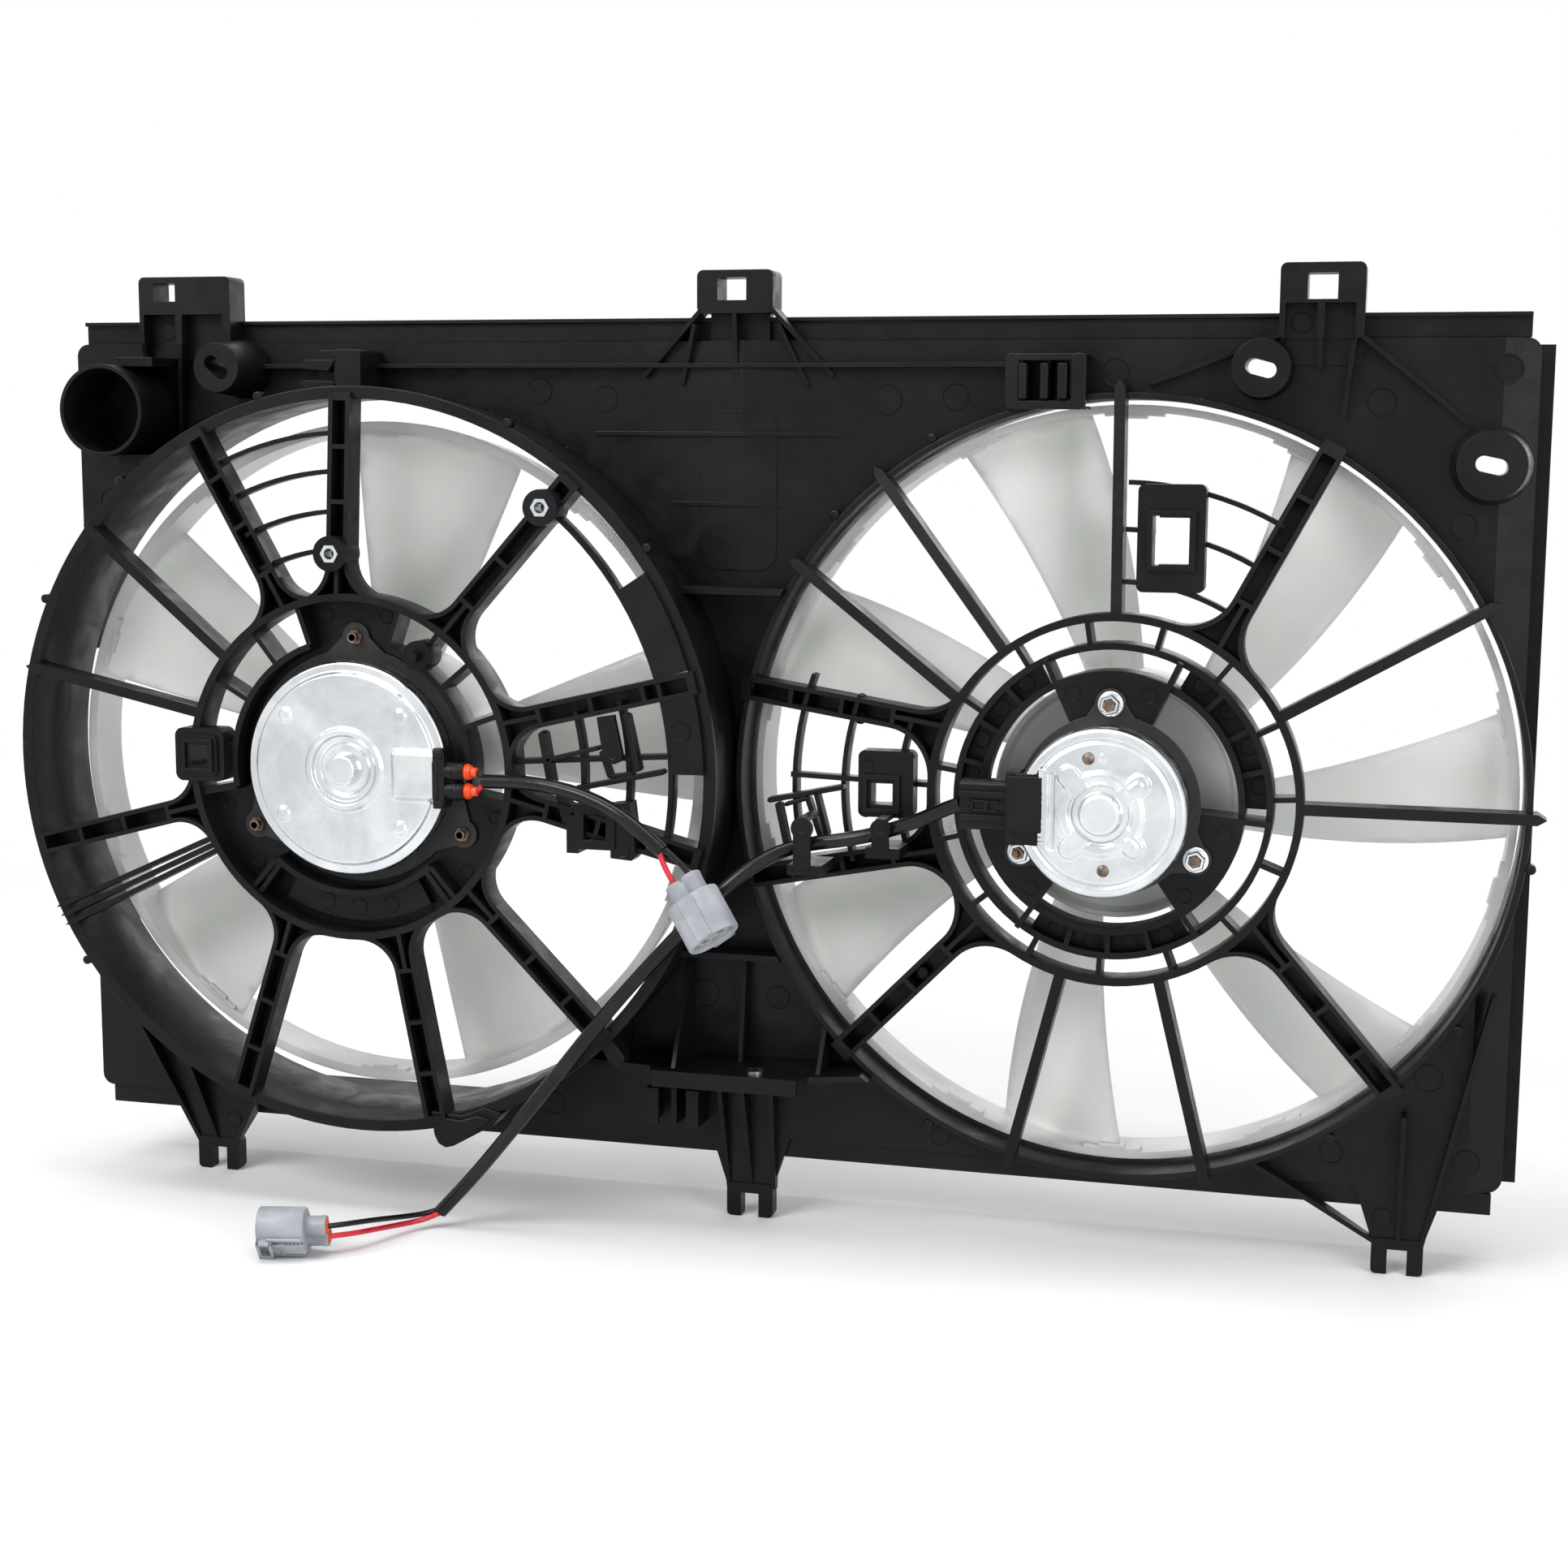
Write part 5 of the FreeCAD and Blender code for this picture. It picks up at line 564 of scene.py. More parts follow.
NODE_SLOTS = {
    "shroud_plastic": ("shroud_panel", "plenum_walls", "edge_lips", "top_clips", "locating_feet",
                       "slotted_bosses", "hose_holder", "panel_ribs", "centre_post", "harness_clips",
                       "left_ring", "right_ring", "left_strut_frame", "right_strut_frame"),
    "fan_plastic": ("left_fan", "right_fan"),
    "zinc_plate": ("left_motor_can", "right_motor_can", "left_motor_cover", "right_motor_cover",
                   "right_flange_nuts", "hex_insert_nuts"),
    "dark_steel": ("left_mounting_plate", "right_mounting_plate"),
    "fastener_steel": ("left_motor_screws", "right_motor_studs", "right_cover_rivets", "left_fan_nut",
                       "right_fan_nut"),
    "bright_steel": ("left_motor_shaft", "right_motor_shaft", "left_motor_bearings", "right_motor_bearings",
                     "shelf_rivet"),
    "ferrite": ("left_magnets", "right_magnets"),
    "core_steel": ("left_armature", "right_armature"),
    "copper": ("left_commutator", "right_commutator"),
    "card_plastic": ("left_brush_card", "right_brush_card"),
    "outlet_plastic": ("left_motor_outlet", "right_motor_outlet"),
    "seal_rubber": ("left_outlet_seals", "left_connector_seals", "right_connector_seals"),
    "connector_plastic": ("left_lead_connector", "right_lead_connector"),
    "terminal_brass": ("left_connector_terminals", "right_connector_terminals"),
    "sleeve_plastic": ("left_lead_sleeve", "right_lead_sleeve"),
    "black_insulation": ("left_lead_black_wire", "right_lead_black_wire"),
    "red_insulation": ("left_lead_red_wire", "right_lead_red_wire"),
}
# Nodes with rounded edges, by the width of the rounding in millimetres
SOFT_EDGES = {
    0.3: ("left_mounting_plate", "right_mounting_plate"),
    0.4: ("shroud_panel", "edge_lips", "panel_ribs", "harness_clips", "left_strut_frame", "right_strut_frame",
          "left_motor_outlet", "right_motor_outlet"),
    0.5: ("plenum_walls", "top_clips", "locating_feet", "hose_holder", "centre_post", "left_ring",
          "right_ring"),
    0.9: ("slotted_bosses",),
}
EDGE_WIDTHS = {name: width for width, names in SOFT_EDGES.items() for name in names}


def add_weld(piece):
    """Join the corners that the faces of a CAD solid leave doubled."""
    weld = piece.modifiers.new("Weld", "WELD")
    weld.merge_threshold = 0.02 * MM


def soften(piece, width):
    """Merge flat faces and round the edges, with the width in millimetres."""
    flat = piece.modifiers.new("Flats", "DECIMATE")
    flat.decimate_type = "DISSOLVE"
    flat.angle_limit = math.radians(1.0)
    add_bevel(piece, width, 2, 35.0)


def dress_nodes():
    for slot_name, names in NODE_SLOTS.items():
        for name in names:
            node = NODES[name]
            node.data.materials.clear()
            node.data.materials.append(MATERIALS[slot_name])
            add_weld(node)
            if name in EDGE_WIDTHS:
                soften(node, EDGE_WIDTHS[name])


# Recesses under the windows of the side clips: x0, x1, z0, z1
CLIP_RECESSES = (
    (-313.6, -296.2, 427.0, 442.6),
    (-292.6, -270.4, 427.0, 442.6),
    (247.6, 261.4, 427.0, 443.4),
    (264.8, 278.0, 427.0, 443.4),
)
CLIP_PLATE_Y = -2.0
CLIP_FRONT_Y = -14.0


def carved_clips():
    """Top clips with the hollows between the ribs under their windows."""
    node = NODES["top_clips"]
    piece = in_scene("top_clip_forms", node.data.copy())
    piece.matrix_world = node.matrix_world
    add_weld(piece)
    hollows = Form()
    for x0, x1, z0, z1 in CLIP_RECESSES:
        hollows.box(x0, x1, CLIP_FRONT_Y, CLIP_PLATE_Y, z0, z1)
    cutter = in_scene("hollows", hollows.mesh("hollows"))
    cut = piece.modifiers.new("Hollows", "BOOLEAN")
    cut.operation = "DIFFERENCE"
    cut.solver = "EXACT"
    cut.object = cutter
    carved = bpy.data.meshes.new_from_object(piece.evaluated_get(bpy.context.evaluated_depsgraph_get()))
    piece.modifiers.clear()
    piece.data = carved
    bpy.data.objects.remove(cutter)
    soften(piece, EDGE_WIDTHS["top_clips"])
    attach(piece, FIXED)
    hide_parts("top_clips")


# Floor, backdrop and light

def direct_rays(tree):
    """One for rays that show the background: from the camera, off shiny surfaces and through clear ones."""
    rays = tree.nodes.new("ShaderNodeLightPath")
    value = rays.outputs["Is Camera Ray"]
    for kind in ("Is Glossy Ray", "Is Transmission Ray"):
        either = tree.nodes.new("ShaderNodeMath")
        either.operation = "MAXIMUM"
        tree.links.new(value, either.inputs[0])
        tree.links.new(rays.outputs[kind], either.inputs[1])
        value = either.outputs["Value"]
    return value


# Metres from the middle where the floor starts to glow white, and where it is all white
FADE_FROM = 0.55
FADE_TO = 1.3
FLOOR_REACH = 9.0


def make_stage():
    material, tree, shader = new_material("floor")
    place = tree.nodes.new("ShaderNodeTexCoord").outputs["Object"]
    distance = tree.nodes.new("ShaderNodeVectorMath")
    distance.operation = "LENGTH"
    tree.links.new(place, distance.inputs[0])
    far = remap(tree, distance.outputs["Value"], FADE_FROM, FADE_TO)
    speckle = remap(tree, noise(tree, place, 6.0, 3.0), 0.3, 0.7)
    tree.links.new(mixed(tree, speckle, (0.86, 0.86, 0.86), (0.90, 0.90, 0.90)), shader.inputs["Base Color"])
    shader.inputs["Roughness"].default_value = 0.9
    glow = tree.nodes.new("ShaderNodeEmission")
    glow.inputs["Strength"].default_value = 1.0
    seen = tree.nodes.new("ShaderNodeMath")
    seen.operation = "MULTIPLY"
    tree.links.new(far, seen.inputs[0])
    tree.links.new(direct_rays(tree), seen.inputs[1])
    mix = tree.nodes.new("ShaderNodeMixShader")
    tree.links.new(seen.outputs["Value"], mix.inputs["Fac"])
    tree.links.new(shader.outputs["BSDF"], mix.inputs[1])
    tree.links.new(glow.outputs["Emission"], mix.inputs[2])
    tree.links.new(mix.outputs["Shader"], tree.nodes["Material Output"].inputs["Surface"])
    mesh = bpy.data.meshes.new("floor")
    corners = [(x * FLOOR_REACH, y * FLOOR_REACH, 0) for x, y in ((-1, -1), (1, -1), (1, 1), (-1, 1))]
    mesh.from_pydata(corners, [], [(0, 1, 2, 3)])
    mesh.materials.append(material)
    floor = in_scene("floor", mesh)


SKY_STRENGTH = 0.44


def make_world():
    world = bpy.data.worlds.new("studio")
    bpy.context.scene.world = world
    world.use_nodes = True
    tree = world.node_tree
    soft = tree.nodes["Background"]
    set_inputs(soft, {"Color": (0.93, 0.96, 1.0, 1.0), "Strength": SKY_STRENGTH})
    white = tree.nodes.new("ShaderNodeBackground")
    set_inputs(white, {"Color": (1.0, 1.0, 1.0, 1.0), "Strength": 1.0})
    mix = tree.nodes.new("ShaderNodeMixShader")
    tree.links.new(direct_rays(tree), mix.inputs["Fac"])
    tree.links.new(soft.outputs["Background"], mix.inputs[1])
    tree.links.new(white.outputs["Background"], mix.inputs[2])
    tree.links.new(mix.outputs["Shader"], tree.nodes["World Output"].inputs["Surface"])


def area_light(name, place, target, size, power):
    data = bpy.data.lights.new(name, "AREA")
    data.shape = "RECTANGLE"
    data.size, data.size_y = size
    data.energy = power
    light = in_scene(name, data)
    light.location = place
    light.rotation_euler = (Vector(target) - Vector(place)).to_track_quat("-Z", "Y").to_euler()


def make_lights():
    area_light("key", (-1.3, -1.9, 1.9), (0.0, 0.0, 0.22), (1.5, 1.1), 45.0)
    area_light("fill", (1.9, -1.7, 0.9), (0.1, 0.0, 0.2), (1.1, 1.5), 24.0)
    area_light("top", (0.0, -0.2, 1.9), (0.0, 0.0, 0.2), (2.2, 0.8), 21.0)
    area_light("back", (0.2, 1.6, 1.0), (0.0, 0.0, 0.22), (2.2, 1.2), 10.0)


# Leads

def lead_cords(plugs):
    left_sleeve = strand("left_sleeve_tube", LEFT_SLEEVE_ROUTE, SLEEVE_DIAMETER, "sleeve_plastic")
    left_red = strand("left_red_end", LEFT_RED_ROUTE, WIRE_DIAMETER, "red_insulation")
    left_black = strand("left_black_end", LEFT_BLACK_ROUTE, WIRE_DIAMETER, "black_insulation")
    right_sleeve = strand("right_sleeve_tube", RIGHT_SLEEVE_ROUTE, SLEEVE_DIAMETER, "sleeve_plastic")
    right_red = strand("right_red_wire", RIGHT_RED_ROUTE, WIRE_DIAMETER, "red_insulation")
    right_black = strand("right_black_wire", RIGHT_BLACK_ROUTE, WIRE_DIAMETER, "black_insulation")
    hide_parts("left_lead_sleeve")
    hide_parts("right_lead_sleeve")
    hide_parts("right_lead_red_wire")
    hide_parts("right_lead_black_wire")


# Detailed pieces that ride on the shroud and the fans

# Ejector marks on the panel: x, z, radius
PANEL_MARKS = (
    (-106.8, 405.3, 6.5), (-73.0, 401.5, 6.5), (-43.3, 366.8, 6.5), (65.9, 401.2, 7.2), (31.5, 366.1, 6.8),
    (98.3, 402.4, 6.5), (172.0, 413.8, 6.5), (290.3, 400.3, 6.5), (343.8, 414.7, 6.5), (327.5, 346.0, 6.0),
    (-341.0, 350.0, 6.0), (-342.5, 95.2, 6.0), (-102.2, 49.8, 5.8), (96.2, 48.6, 5.0), (323.1, 94.4, 6.6),
    (280.7, 56.0, 5.6), (341.4, 55.9, 6.2), (-22.5, 112.2, 7.0), (14.4, 112.0, 6.0),
)
# Posts beside the rims: angle and radius; the one at the outer side of the left rim stands nearer to it
LEFT_PIPS = ((64, 183.2), (105, 183.2), (132, 183.2), (155, 183.2), (179, 179.7), (215, 183.2), (36, 183.2))
RIGHT_PIPS = tuple((degrees, 185.0) for degrees in (105, 119, 137, -33, -57, -118, -8))
PAD_ANGLES = (90.0, -30.0, -150.0)
AHEAD = (0.0, -1.0, 0.0)


def arc_outline(centre, inner, outer, start, end, steps=14):
    """Part of a flat ring as (x, z) points."""
    angles = [start + (end - start) * i / steps for i in range(steps + 1)]
    far = [polar(centre, outer, angle) for angle in angles]
    near = [polar(centre, inner, angle) for angle in reversed(angles)]
    return far + near


def rounded_outline(x0, x1, z0, z1, radius, steps=5):
    points = []
    for cx, cz, first in ((x1 - radius, z1 - radius, 0), (x0 + radius, z1 - radius, 90),
                          (x0 + radius, z0 + radius, 180), (x1 - radius, z0 + radius, 270)):
        points += [polar((cx, cz), radius, first + 90.0 * i / steps) for i in range(steps + 1)]
    return points


def ring_mark(form, x, z, radius, y):
    """Round mark of an ejector pin: a low rim round a flat disc."""
    rows = ((0.0, 0.1), (radius - 0.75, 0.1), (radius - 0.45, 0.42), (radius - 0.1, 0.42), (radius, 0.0),
            (radius, -0.5), (0.0, -0.5))
    form.lathe((x, y, z), AHEAD, rows, 40)


def panel_marks():
    form = Form()
    for x, z, radius in PANEL_MARKS:
        ring_mark(form, x, z, radius, 0.0)
    form.make("panel_marks", smooth=30.0)


def hub_marks():
    form = Form()
    for degrees in (128, 142, 157, 172, 8, 24, 40, 54, -112, -97, -82, -67):
        ring_mark(form, *polar(RIGHT_AXIS, 65.8, degrees), 4.3, -31.5)
    for degrees in (-120, -105, -75, -60):
        ring_mark(form, *polar(LEFT_AXIS, 79.0, degrees), 3.2, -43.0)
    for degrees in (-104, -90, -76):
        ring_mark(form, *polar(LEFT_AXIS, 69.5, degrees), 4.4, -48.0)
    for middle in PAD_ANGLES:
        for side in (-12.0, 12.0):
            ring_mark(form, *polar(LEFT_AXIS, 74.0, middle + side), 3.6, -44.0)
        for side in (-19.0, 19.0):
            ring_mark(form, *polar(RIGHT_AXIS, 52.5, middle + side), 3.8, -46.0)
    form.make("hub_marks", smooth=30.0)


def ring_pips():
    """Short round posts beside the rims of both rings."""
    form = Form()
    rows = ((0.0, 5.5), (1.5, 5.5), (2.2, 4.9), (2.2, 0.0), (0.0, 0.0))
    for axis, y, pips in ((LEFT_AXIS, -44.3, LEFT_PIPS), (RIGHT_AXIS, -9.2, RIGHT_PIPS)):
        for degrees, radius in pips:
            x, z = polar(axis, radius, degrees)
            form.lathe((x, y, z), AHEAD, rows, 20)
    form.make("ring_pips", smooth=40.0)


def thread_rows(radius, length, pitch=0.8):
    rows = [(0.0, -0.5), (radius - 0.3, -0.5)]
    height = 0.0
    while height < length - pitch:
        rows += [(radius - 0.32, height), (radius, height + pitch * 0.5)]
        height += pitch
    rows += [(radius - 0.32, height), (radius - 0.75, length), (0.0, length)]
    return rows


RIGHT_STUD_RADIUS = 45.5
RIGHT_STUD_Y = -48.0
LEFT_STUD_RADIUS = 62.5
LEFT_STUD_Y = -46.0


def motor_fasteners():
    """Threaded stud ends with their nuts on the right motor, and collared stud ends on the left one."""
    nuts, studs, collars = Form(), Form(), Form()
    for degrees in PAD_ANGLES:
        x, z = polar(RIGHT_AXIS, RIGHT_STUD_RADIUS, degrees)
        foot = (x, RIGHT_STUD_Y, z)
        flange = ((2.7, 0.0), (5.7, 0.0), (5.8, 0.5), (5.4, 1.0), (4.6, 1.3), (2.7, 1.3))
        nuts.lathe(foot, AHEAD, flange, 40)
        sides = ((2.7, 0.6), (4.75, 0.6), (4.75, 4.3), (4.35, 4.9), (3.2, 5.0), (2.75, 4.6))
        nuts.lathe(foot, AHEAD, sides, 6, 0.3)
        studs.lathe(foot, AHEAD, thread_rows(2.55, 7.0), 24)
        x, z = polar(LEFT_AXIS, LEFT_STUD_RADIUS, degrees)
        foot = (x, LEFT_STUD_Y, z)
        studs.lathe(foot, AHEAD, thread_rows(2.45, 4.5), 24)
        collar = ((2.5, 0.0), (3.9, 0.0), (3.9, 1.2), (3.5, 1.6), (2.5, 1.6))
        collars.lathe(foot, AHEAD, collar, 6, 0.2)
    nuts.make("right_nut_forms", "zinc_plate", smooth=32.0, replaces=("right_flange_nuts",))
    studs.make("stud_threads", "fastener_steel", smooth=30.0)
    collars.make("left_stud_collars", "fastener_steel", smooth=30.0)


def cover_rivets():
    form = Form()
    for degrees, radius in ((103.0, 25.0), (-86.0, 25.0)):
        x, z = polar(RIGHT_AXIS, radius, degrees)
        rows = ((0.0, 1.3), (1.3, 1.2), (2.3, 0.7), (2.8, 0.0), (2.8, -1.6), (0.0, -1.6))
        form.lathe((x, RIGHT_FACE_Y, z), AHEAD, rows, 28)
    form.make("right_rivet_heads", "fastener_steel", smooth=40.0, replaces=("right_cover_rivets",))


# Connectors, drawn along +X and carried to their places

def plug_matrix(origin, forward, up):
    along = Vector(forward).normalized()
    above = (Vector(up) - along * along.dot(Vector(up))).normalized()
    across = above.cross(along)
    return Matrix.Translation(Vector(origin)) @ Matrix((along, across, above)).transposed().to_4x4()


TOWER_PITCH = 8.8
TOWERS = (-TOWER_PITCH / 2.0, TOWER_PITCH / 2.0)
FORWARD = (1.0, 0.0, 0.0)

# Width, height and x of the loops along the hood, out over its mouth and back inside
HOOD_LOOPS = (
    (23.6, 15.8, 9.6), (25.4, 17.4, 10.0), (26.0, 18.0, 10.8), (26.0, 18.0, 31.3), (25.2, 17.2, 32.0),
    (22.4, 14.4, 32.0), (21.7, 13.7, 31.3), (21.5, 13.5, 17.0),
)


def stadium(width, height, x, steps=10):
    """Loop of points with flat top and bottom and round sides, at one x."""
    radius = height / 2.0
    flat = width / 2.0 - radius
    points = []
    for side, first in ((1.0, -90.0), (-1.0, 90.0)):
        for i in range(steps + 1):
            angle = math.radians(first + 180.0 * i / steps)
            points.append((x, side * flat + radius * math.cos(angle), radius * math.sin(angle)))
    return points


def swept(form, loops):
    """Skin over loops of equal length, closed at both ends."""
    rings = [[form.bm.verts.new(p) for p in loop] for loop in loops]
    form.bm.faces.new(list(reversed(rings[0])))
    form.bm.faces.new(rings[-1])
    for first, second in zip(rings, rings[1:]):
        for i in range(len(first)):
            j = (i + 1) % len(first)
            form.bm.faces.new((first[i], first[j], second[j], second[i]))


def connector_forms(name, place, replaced):
    """Two-way connector: hood with its open mouth, latch, guide rails, ridges and two wire towers."""
    shell = Form()
    swept(shell, [stadium(*loop) for loop in HOOD_LOOPS])
    shell.place(place)
    hood = shell.make(name + "_hood", "connector_plastic", replaces=replaced)
    detail = Form()
    for y0, y1, z0, z1 in ((-8.4, 8.4, 3.0, 4.6), (-8.4, 8.4, -4.6, -3.0), (-8.4, -6.0, -4.6, 4.6),
                           (6.0, 8.4, -4.6, 4.6), (-2.8, 2.8, -4.6, 4.6)):
        detail.box(16.0, 30.4, y0, y1, z0, z1)
    detail.box(16.0, 19.0, -8.0, 8.0, -4.4, 4.4)
    for y in (-6.2, 6.2):
        detail.box(10.6, 27.0, y - 0.8, y + 0.8, 8.7, 10.0)
    for x in (11.6, 13.4, 15.2, 17.0):
        detail.box(x - 0.45, x + 0.45, -5.4, 5.4, 8.8, 9.7)
    detail.box(9.2, 25.0, -3.3, 3.3, 9.4, 10.9)
    for step in range(5):
        x = 19.0 + 1.25 * step
        detail.prism_x([(-3.3, 10.8), (3.3, 10.8), (3.3, 11.5), (-3.3, 11.5)], x, x + 0.65)
    for y0, y1 in ((-6.0, -4.3), (4.3, 6.0)):
        detail.box(24.4, 31.8, y0, y1, 8.4, 12.0)
    detail.box(24.4, 26.0, -6.0, 6.0, 8.6, 12.0)
    detail.box(30.2, 31.8, -6.0, 6.0, 8.6, 12.0)
    detail.box(18.4, 21.2, -3.4, 3.4, 8.2, 9.8)
    detail.box(11.2, 31.6, -4.0, 4.0, -9.8, -8.2)
    for y in (-11.4, 11.4):
        detail.box(12.0, 29.0, y - 0.9, y + 0.9, -2.2, 2.2)
    detail.place(place)
    details = detail.make(name + "_details", "connector_plastic", 0.25)
    towers = Form()
    rows = ((3.75, 3.8), (3.75, 0.5), (4.1, 0.0), (4.6, 0.0), (4.9, 0.4), (4.9, 2.2), (4.7, 2.5), (4.7, 9.4),
            (4.7, 11.0), (0.0, 11.0))
    for y in TOWERS:
        towers.lathe((0.0, y, 0.0), FORWARD, rows, 36)
    towers.box(1.6, 10.4, -1.6, 1.6, -3.6, 3.6)
    towers.place(place)
    return [hood, details, towers.make(name + "_towers", "connector_plastic")]


def wire_seals(name, place, replaced):
    form = Form()
    rows = ((1.35, -0.7), (2.6, -0.7), (3.0, -0.3), (3.6, 0.3), (3.6, 0.9), (3.1, 1.3), (3.6, 1.8),
            (3.6, 3.7), (1.35, 3.7))
    for y in TOWERS:
        form.lathe((0.0, y, 0.0), FORWARD, rows, 32)
    form.place(place)
    return form.make(name, "seal_rubber", smooth=40.0, replaces=replaced)


def connectors():
    """Plug of each lead, as the list of its pieces."""
    plugs = {}
    left = plug_matrix((-10.0, -78.5, 183.0), (0.565, -0.30, -0.77), (0.178, 0.955, -0.242))
    right = plug_matrix((-174.5, -111.5, 12.4), (-0.97, -0.24, 0.0), (0.0, -0.79, -0.62))
    for side, place in (("left", left), ("right", right)):
        plugs[side] = connector_forms(side + "_plug", place, (side + "_lead_connector",))
        plugs[side].append(wire_seals(side + "_plug_seals", place, (side + "_connector_seals",)))
        plugs[side].append(NODES[side + "_connector_terminals"])
    return plugs


# Lead outlets on the motors

def left_outlet_forms():
    """Curved black flange in the notch, two barrels, and the two-stage seals in them."""
    body = Form()
    flange = ((-138.3, 208.4), (-133.4, 208.4), (-132.6, 209.9), (-132.4, 235.1), (-133.4, 236.6),
              (-138.3, 236.6))
    body.prism_y(flange, -64.6, -54.2)
    body.prism_y([(-138.4, 213.0), (-135.6, 213.0), (-135.6, 231.0), (-138.4, 231.0)], -65.2, -60.0)
    for z in (210.6, 234.4):
        body.box(-137.6, -133.0, -65.4, -62.0, z - 1.5, z + 1.5)
    body.box(-134.2, -127.6, -61.6, -58.2, 219.4, 223.4)
    body.make("left_outlet_body", "outlet_plastic", 0.35)
    barrels = Form()
    seals = Form()
    rows = ((3.7, 9.0), (4.2, 9.4), (4.6, 9.0), (4.6, 6.2), (4.9, 5.8), (4.9, 4.6), (4.6, 4.2), (4.6, -2.0),
            (0.0, -2.0))
    rings = ((0.0, -1.5), (3.6, -1.5), (3.6, 1.0), (3.9, 1.4), (3.9, 2.2), (3.4, 2.6), (3.4, 3.6), (2.3, 4.2),
             (2.3, 6.3), (1.9, 6.7), (0.0, 6.7))
    for z in (225.9, 216.8):
        barrels.lathe((-133.0, -60.0, z), FORWARD, rows, 36)
        seals.lathe((-124.0, -60.0, z), FORWARD, rings, 32)
    barrels.make("left_outlet_barrels", "outlet_plastic")
    seals.make("left_outlet_seal_forms", "seal_rubber", smooth=40.0, replaces=("left_outlet_seals",))


def right_outlet_forms():
    """Black housing in the notch with the plug pushed into it, its rails and its latch."""
    form = Form()
    form.prism_y(rounded_outline(138.2, 153.4, 212.2, 236.8, 1.2), -75.6, -57.2)
    form.box(142.0, 153.2, -74.4, -70.2, 206.4, 237.8)
    form.make("right_outlet_housing", "outlet_plastic", 0.4)
    plug = Form()
    plug.prism_x(rounded_outline(-68.4, -56.8, 211.4, 233.2, 2.0), 116.2, 139.0)
    plug.make("right_outlet_plug", "outlet_plastic", 0.3)
    rails = Form()
    for z in (216.9, 227.3):
        rails.box(116.6, 138.8, -70.4, -68.0, z - 1.3, z + 1.3)
    for z in (220.0, 224.2):
        rails.box(121.0, 134.0, -70.0, -68.2, z - 0.55, z + 0.55)
    rails.box(121.0, 122.4, -70.0, -68.2, 219.5, 224.7)
    rails.box(127.5, 129.2, -71.0, -68.6, 219.8, 224.4)
    for z in (212.4, 232.0):
        rails.box(118.0, 136.0, -66.4, -60.0, z - 1.5, z + 1.5)
    rails.make("right_outlet_rails", "outlet_plastic", 0.25)
    teeth = Form()
    for low, high in ((206.6, 212.4), (236.6, 240.4)):
        for step in range(3):
            z = low + (high - low) * step / 3.0
            teeth.box(152.4, 154.6 - 0.7 * (step % 2), -76.2, -74.6, z, z + 1.5)
    teeth.make("right_cover_crimps", "zinc_plate", 0.2)


# Clips that hold the leads and the harness

# Tongues over the sleeve: x, low and high z, radius of the head, half the width, front y
HOOKS = (
    (40.5, 186.5, 206.0, 5.2, 4.0, -57.4),
    (77.0, 196.0, 207.0, 4.8, 4.2, -55.6),
)


def hook_clips():
    """Tongues that hold the right lead's sleeve against the strut."""
    form = Form()
    for x, z0, z1, head_r, half, front in HOOKS:
        stem = [(x - half, z0), (x + half, z0)]
        head = [polar((x, z1), head_r, -38.0 + 256.0 * i / 18) for i in range(19)]
        form.prism_y(stem + head, front, front + 2.2)
        form.box(x - 7.0, x + 9.0, front + 0.6, -30.0, z0 - 2.6, z0 + 2.2)
        form.box(x - 2.4, x + 2.4, front + 1.0, -30.0, z1 + 2.6, z1 + 4.6)
        ring_mark(form, x, z1 + 0.4, head_r * 0.62, front)
    form.make("sleeve_hooks", bevel=0.45)


# Thin bars: start and end as (x, z), and width
LEFT_LADDER = (
    ((-86.7, 245.0), (-82.1, 218.8), 4.0),
    ((-84.4, 232.4), (-59.0, 239.0), 2.2),
    ((-57.3, 237.3), (-53.2, 225.6), 2.2),
    ((-53.2, 225.6), (-42.3, 227.4), 2.0),
    ((-45.2, 255.1), (-39.5, 229.3), 3.0),
    ((-70.7, 219.2), (-27.2, 228.9), 2.6),
    ((-77.2, 217.2), (-73.6, 201.5), 6.0),
)
RIGHT_LADDER = (
    ((17.5, 214.3), (53.2, 222.0), 2.6),
    ((22.0, 212.8), (26.6, 191.8), 3.0),
    ((25.6, 212.6), (36.3, 216.0), 2.0),
    ((36.3, 216.0), (42.7, 197.9), 2.4),
    ((40.4, 218.8), (45.7, 198.9), 2.4),
)


def straight_bar(form, start, end, width, front, back):
    """Bar between two (x, z) points with softly pointed ends."""
    along = Vector((end[0] - start[0], end[1] - start[1])).normalized()
    side = Vector((-along.y, along.x)) * width / 2.0
    first, last = Vector(start), Vector(end)
    cap = along * width * 0.3
    outline = [first - side, last - side, last + cap, last + side, first + side, first - cap]
    form.prism_y([(p.x, p.y) for p in outline], front, back)


def strut_ladders():
    """Thin bars between the struts near the middle, where the harness clips sit."""
    form = Form()
    for start, end, width in LEFT_LADDER:
        straight_bar(form, start, end, width, -55.0, -48.5)
    for start, end, width in RIGHT_LADDER:
        straight_bar(form, start, end, width, -31.0, -24.5)
    form.make("strut_ladders", bevel=0.4)
    tongue = Form()
    outline = ((-58.7, 253.8), (-50.3, 255.2), (-46.1, 235.6), (-47.4, 233.2), (-50.0, 232.0), (-53.6, 232.6),
               (-55.6, 235.0))
    tongue.prism_y(outline, -57.0, -53.6)
    ring_mark(tongue, -51.0, 236.9, 3.0, -57.0)
    tongue.make("strut_tongue", bevel=0.5)


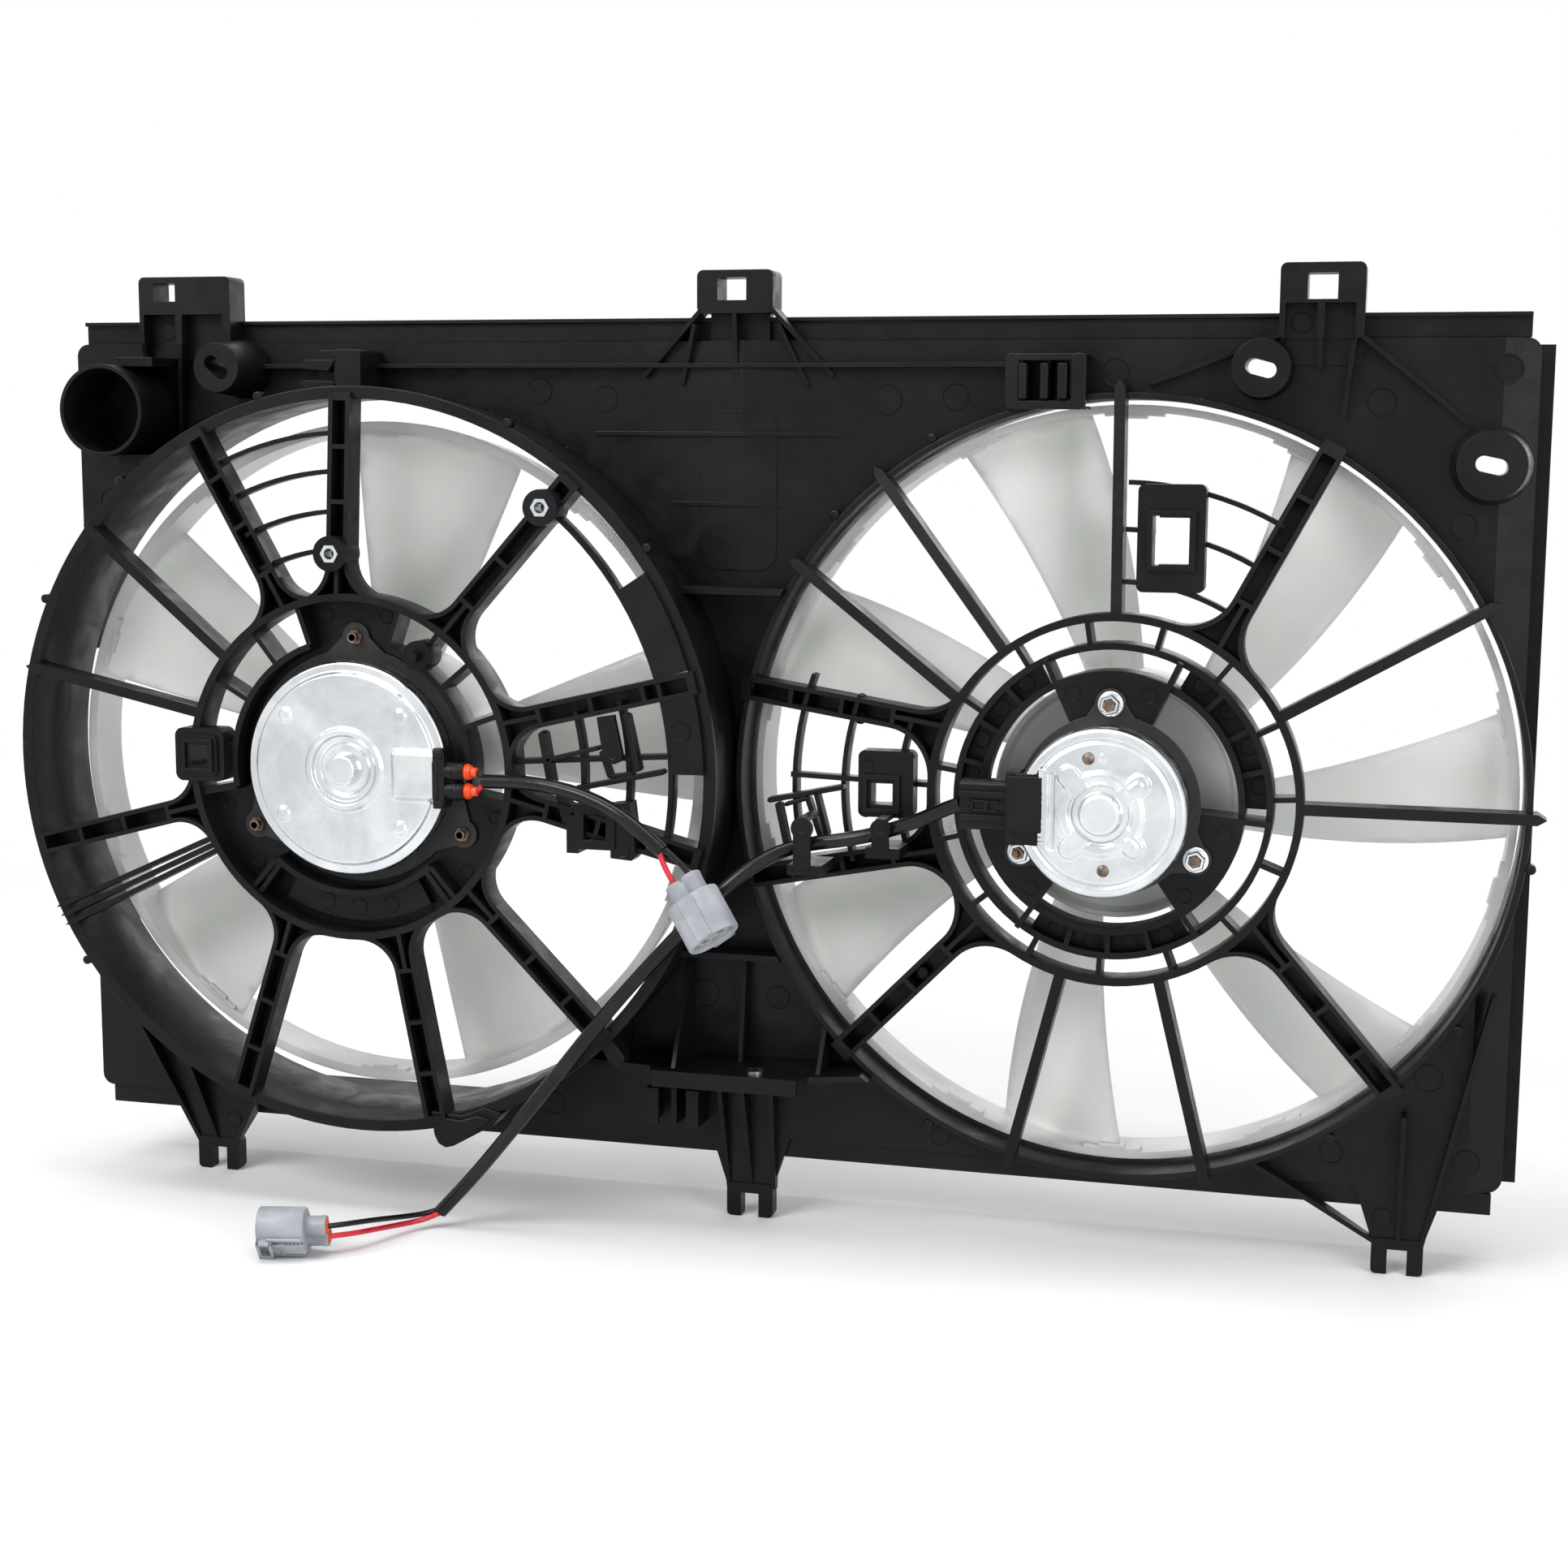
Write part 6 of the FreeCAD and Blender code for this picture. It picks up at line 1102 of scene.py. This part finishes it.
WEDGE = ((-148.2, 56.1), (-146.6, 44.0), (-144.6, 39.8), (-140.8, 37.8), (-136.5, 39.0), (-115.8, 50.9),
         (-110.7, 57.4), (-119.9, 60.0), (-131.9, 55.2))
WEDGE_MIDDLE = (-131.0, 49.5)
FLAP = ((-65.2, 100.2), (-60.9, 103.8), (-53.6, 95.1), (-48.7, 89.3), (-50.0, 85.6), (-53.2, 84.2),
        (-57.6, 87.3))


def strut_ends():
    """Wedge and flap at the outer ends of two lower struts of the left bay."""
    form = Form()
    form.prism_y(WEDGE, -50.5, -34.0)
    mid_x, mid_z = WEDGE_MIDDLE
    raised = [(mid_x + (x - mid_x) * 0.72, mid_z + (z - mid_z) * 0.62) for x, z in WEDGE]
    form.prism_y(raised, -52.2, -49.0)
    form.prism_y(FLAP, -47.5, -38.0)
    form.make("strut_wedges", bevel=0.9, smooth=30.0, segments=3)


def window_frame(form, x0, x1, z0, z1, wall, front, back):
    form.box(x0, x1, front, back, z1 - wall, z1)
    form.box(x0, x1, front, back, z0, z0 + wall)
    form.box(x0, x0 + wall, front, back, z0 + wall, z1 - wall)
    form.box(x1 - wall, x1, front, back, z0 + wall, z1 - wall)


def harness_brackets():
    """Raised lips round the windows for harness clips, and the small box clip on the left bay's arm."""
    form = Form()
    window_frame(form, 192.0, 213.6, 325.6, 352.4, 2.4, -34.6, -31.0)
    form.box(197.4, 211.0, -34.0, -26.0, 349.2, 351.4)
    form.box(197.4, 211.0, -34.0, -26.0, 326.6, 328.6)
    window_frame(form, 64.4, 82.0, 211.6, 229.4, 2.2, -38.0, -35.0)
    window_frame(form, -270.6, -254.4, 220.8, 236.8, 1.8, -63.2, -59.5)
    window_frame(form, -69.5, -49.4, 191.4, 212.8, 4.6, -58.6, -47.0)
    cheek = ((-52.0, 213.2), (-42.4, 214.4), (-39.4, 189.0), (-41.6, 186.8), (-52.0, 187.6))
    form.prism_y(cheek, -57.6, -47.0)
    ring_mark(form, -46.0, 191.6, 3.6, -57.6)
    form.box(-74.0, -68.0, -57.0, -46.0, 189.0, 207.0)
    form.make("harness_windows", bevel=0.5)


UPPER_WING = ((-220.6, 416.0), (-217.9, 419.6), (-202.0, 419.6), (-205.5, 413.9), (-218.0, 414.9))
LOWER_WING = ((-220.8, 408.6), (-219.0, 409.8), (-204.0, 409.6), (-202.0, 408.4), (-205.0, 404.4),
              (-218.3, 405.6))


def panel_clips():
    """Faces of the two clips for the vehicle's harness at the panel's top."""
    body = Form()
    body.prism_y(rounded_outline(124.6, 131.0, 396.6, 421.8, 3.0), -20.5, -17.0)
    body.prism_y(rounded_outline(154.6, 161.4, 396.6, 421.8, 3.0), -20.5, -17.0)
    body.box(128.0, 158.0, -20.2, -17.2, 418.4, 421.6)
    body.box(128.0, 158.0, -20.2, -17.2, 396.8, 400.6)
    body.box(124.8, 161.2, -17.2, -0.2, 420.0, 421.6)
    body.box(124.8, 161.2, -17.2, -0.2, 396.8, 398.2)
    for x0, x1 in ((131.0, 134.6), (140.8, 144.4), (148.6, 153.0)):
        body.box(x0, x1, -21.4, -8.0, 401.4, 417.2)
    body.make("right_panel_clip", bevel=0.45)
    wings = Form()
    wings.prism_y(rounded_outline(-203.0, -189.2, 404.2, 424.6, 1.8), -26.0, -0.2)
    wings.box(-214.2, -202.6, -19.6, -14.4, 401.8, 424.4)
    wings.prism_y(UPPER_WING, -27.0, -19.0)
    wings.prism_y(LOWER_WING, -27.0, -19.0)
    wings.make("left_panel_clip", bevel=0.45)


def arm_marks():
    """Round marks in the channel arms, on the guard plates, over the feet and in the side clips."""
    form = Form()
    for x, z, radius, y in ((-19.3, 247.7, 5.0, -52.4), (-66.2, 256.1, 2.8, -45.0)):
        ring_mark(form, x, z, radius, y)
    for x, z, y in ((59.6, 253.7, -22.0), (90.9, 134.0, -22.0)):
        ring_mark(form, x, z, 2.8, y)
    for x, z in ((66.5, 233.5), (65.8, 212.4)):
        ring_mark(form, x, z, 3.2, -36.0)
    for x, z in ((-281.6, 26.9), (305.0, 26.9)):
        ring_mark(form, x, z, 4.6, 0.0)
    for x, z in ((-304.8, 435.0), (254.6, 435.2)):
        ring_mark(form, x, z, 4.9, CLIP_PLATE_Y)
    form.make("arm_marks", smooth=30.0)


# Fan details: seats on the band, as moulded for balance clips

# Name, axis, the band's inner radius, its front y, number of seats, angle of the first, and their body
BAND_SEATS = (
    ("left_band_steps", LEFT_AXIS, 160.8, -14.0, 10, 12.0, "left_fan_wheel"),
    ("right_band_steps", RIGHT_AXIS, 174.3, 4.0, 14, 8.0, "right_fan_wheel"),
)


def band_steps():
    for name, axis, radius, front, count, first, body in BAND_SEATS:
        form = Form()
        for index in range(count):
            start = first + 360.0 * index / count
            seat = arc_outline(axis, radius - 1.6, radius + 0.4, start, start + 9.0)
            form.prism_y(seat, front + 0.2, front + 6.0)
            step = arc_outline(axis, radius - 3.0, radius + 0.3, start + 2.5, start + 6.5)
            form.prism_y(step, front + 0.6, front + 4.0)
        form.make(name, "fan_plastic", 0.3, body=body)


def add_details():
    panel_marks()
    hub_marks()
    ring_pips()
    motor_fasteners()
    cover_rivets()
    left_outlet_forms()
    right_outlet_forms()
    hook_clips()
    harness_brackets()
    panel_clips()
    strut_ladders()
    strut_ends()
    arm_marks()
    band_steps()


dress_nodes()
carved_clips()
make_stage()
make_world()
make_lights()
lead_cords(connectors())
motor_covers()
add_details()
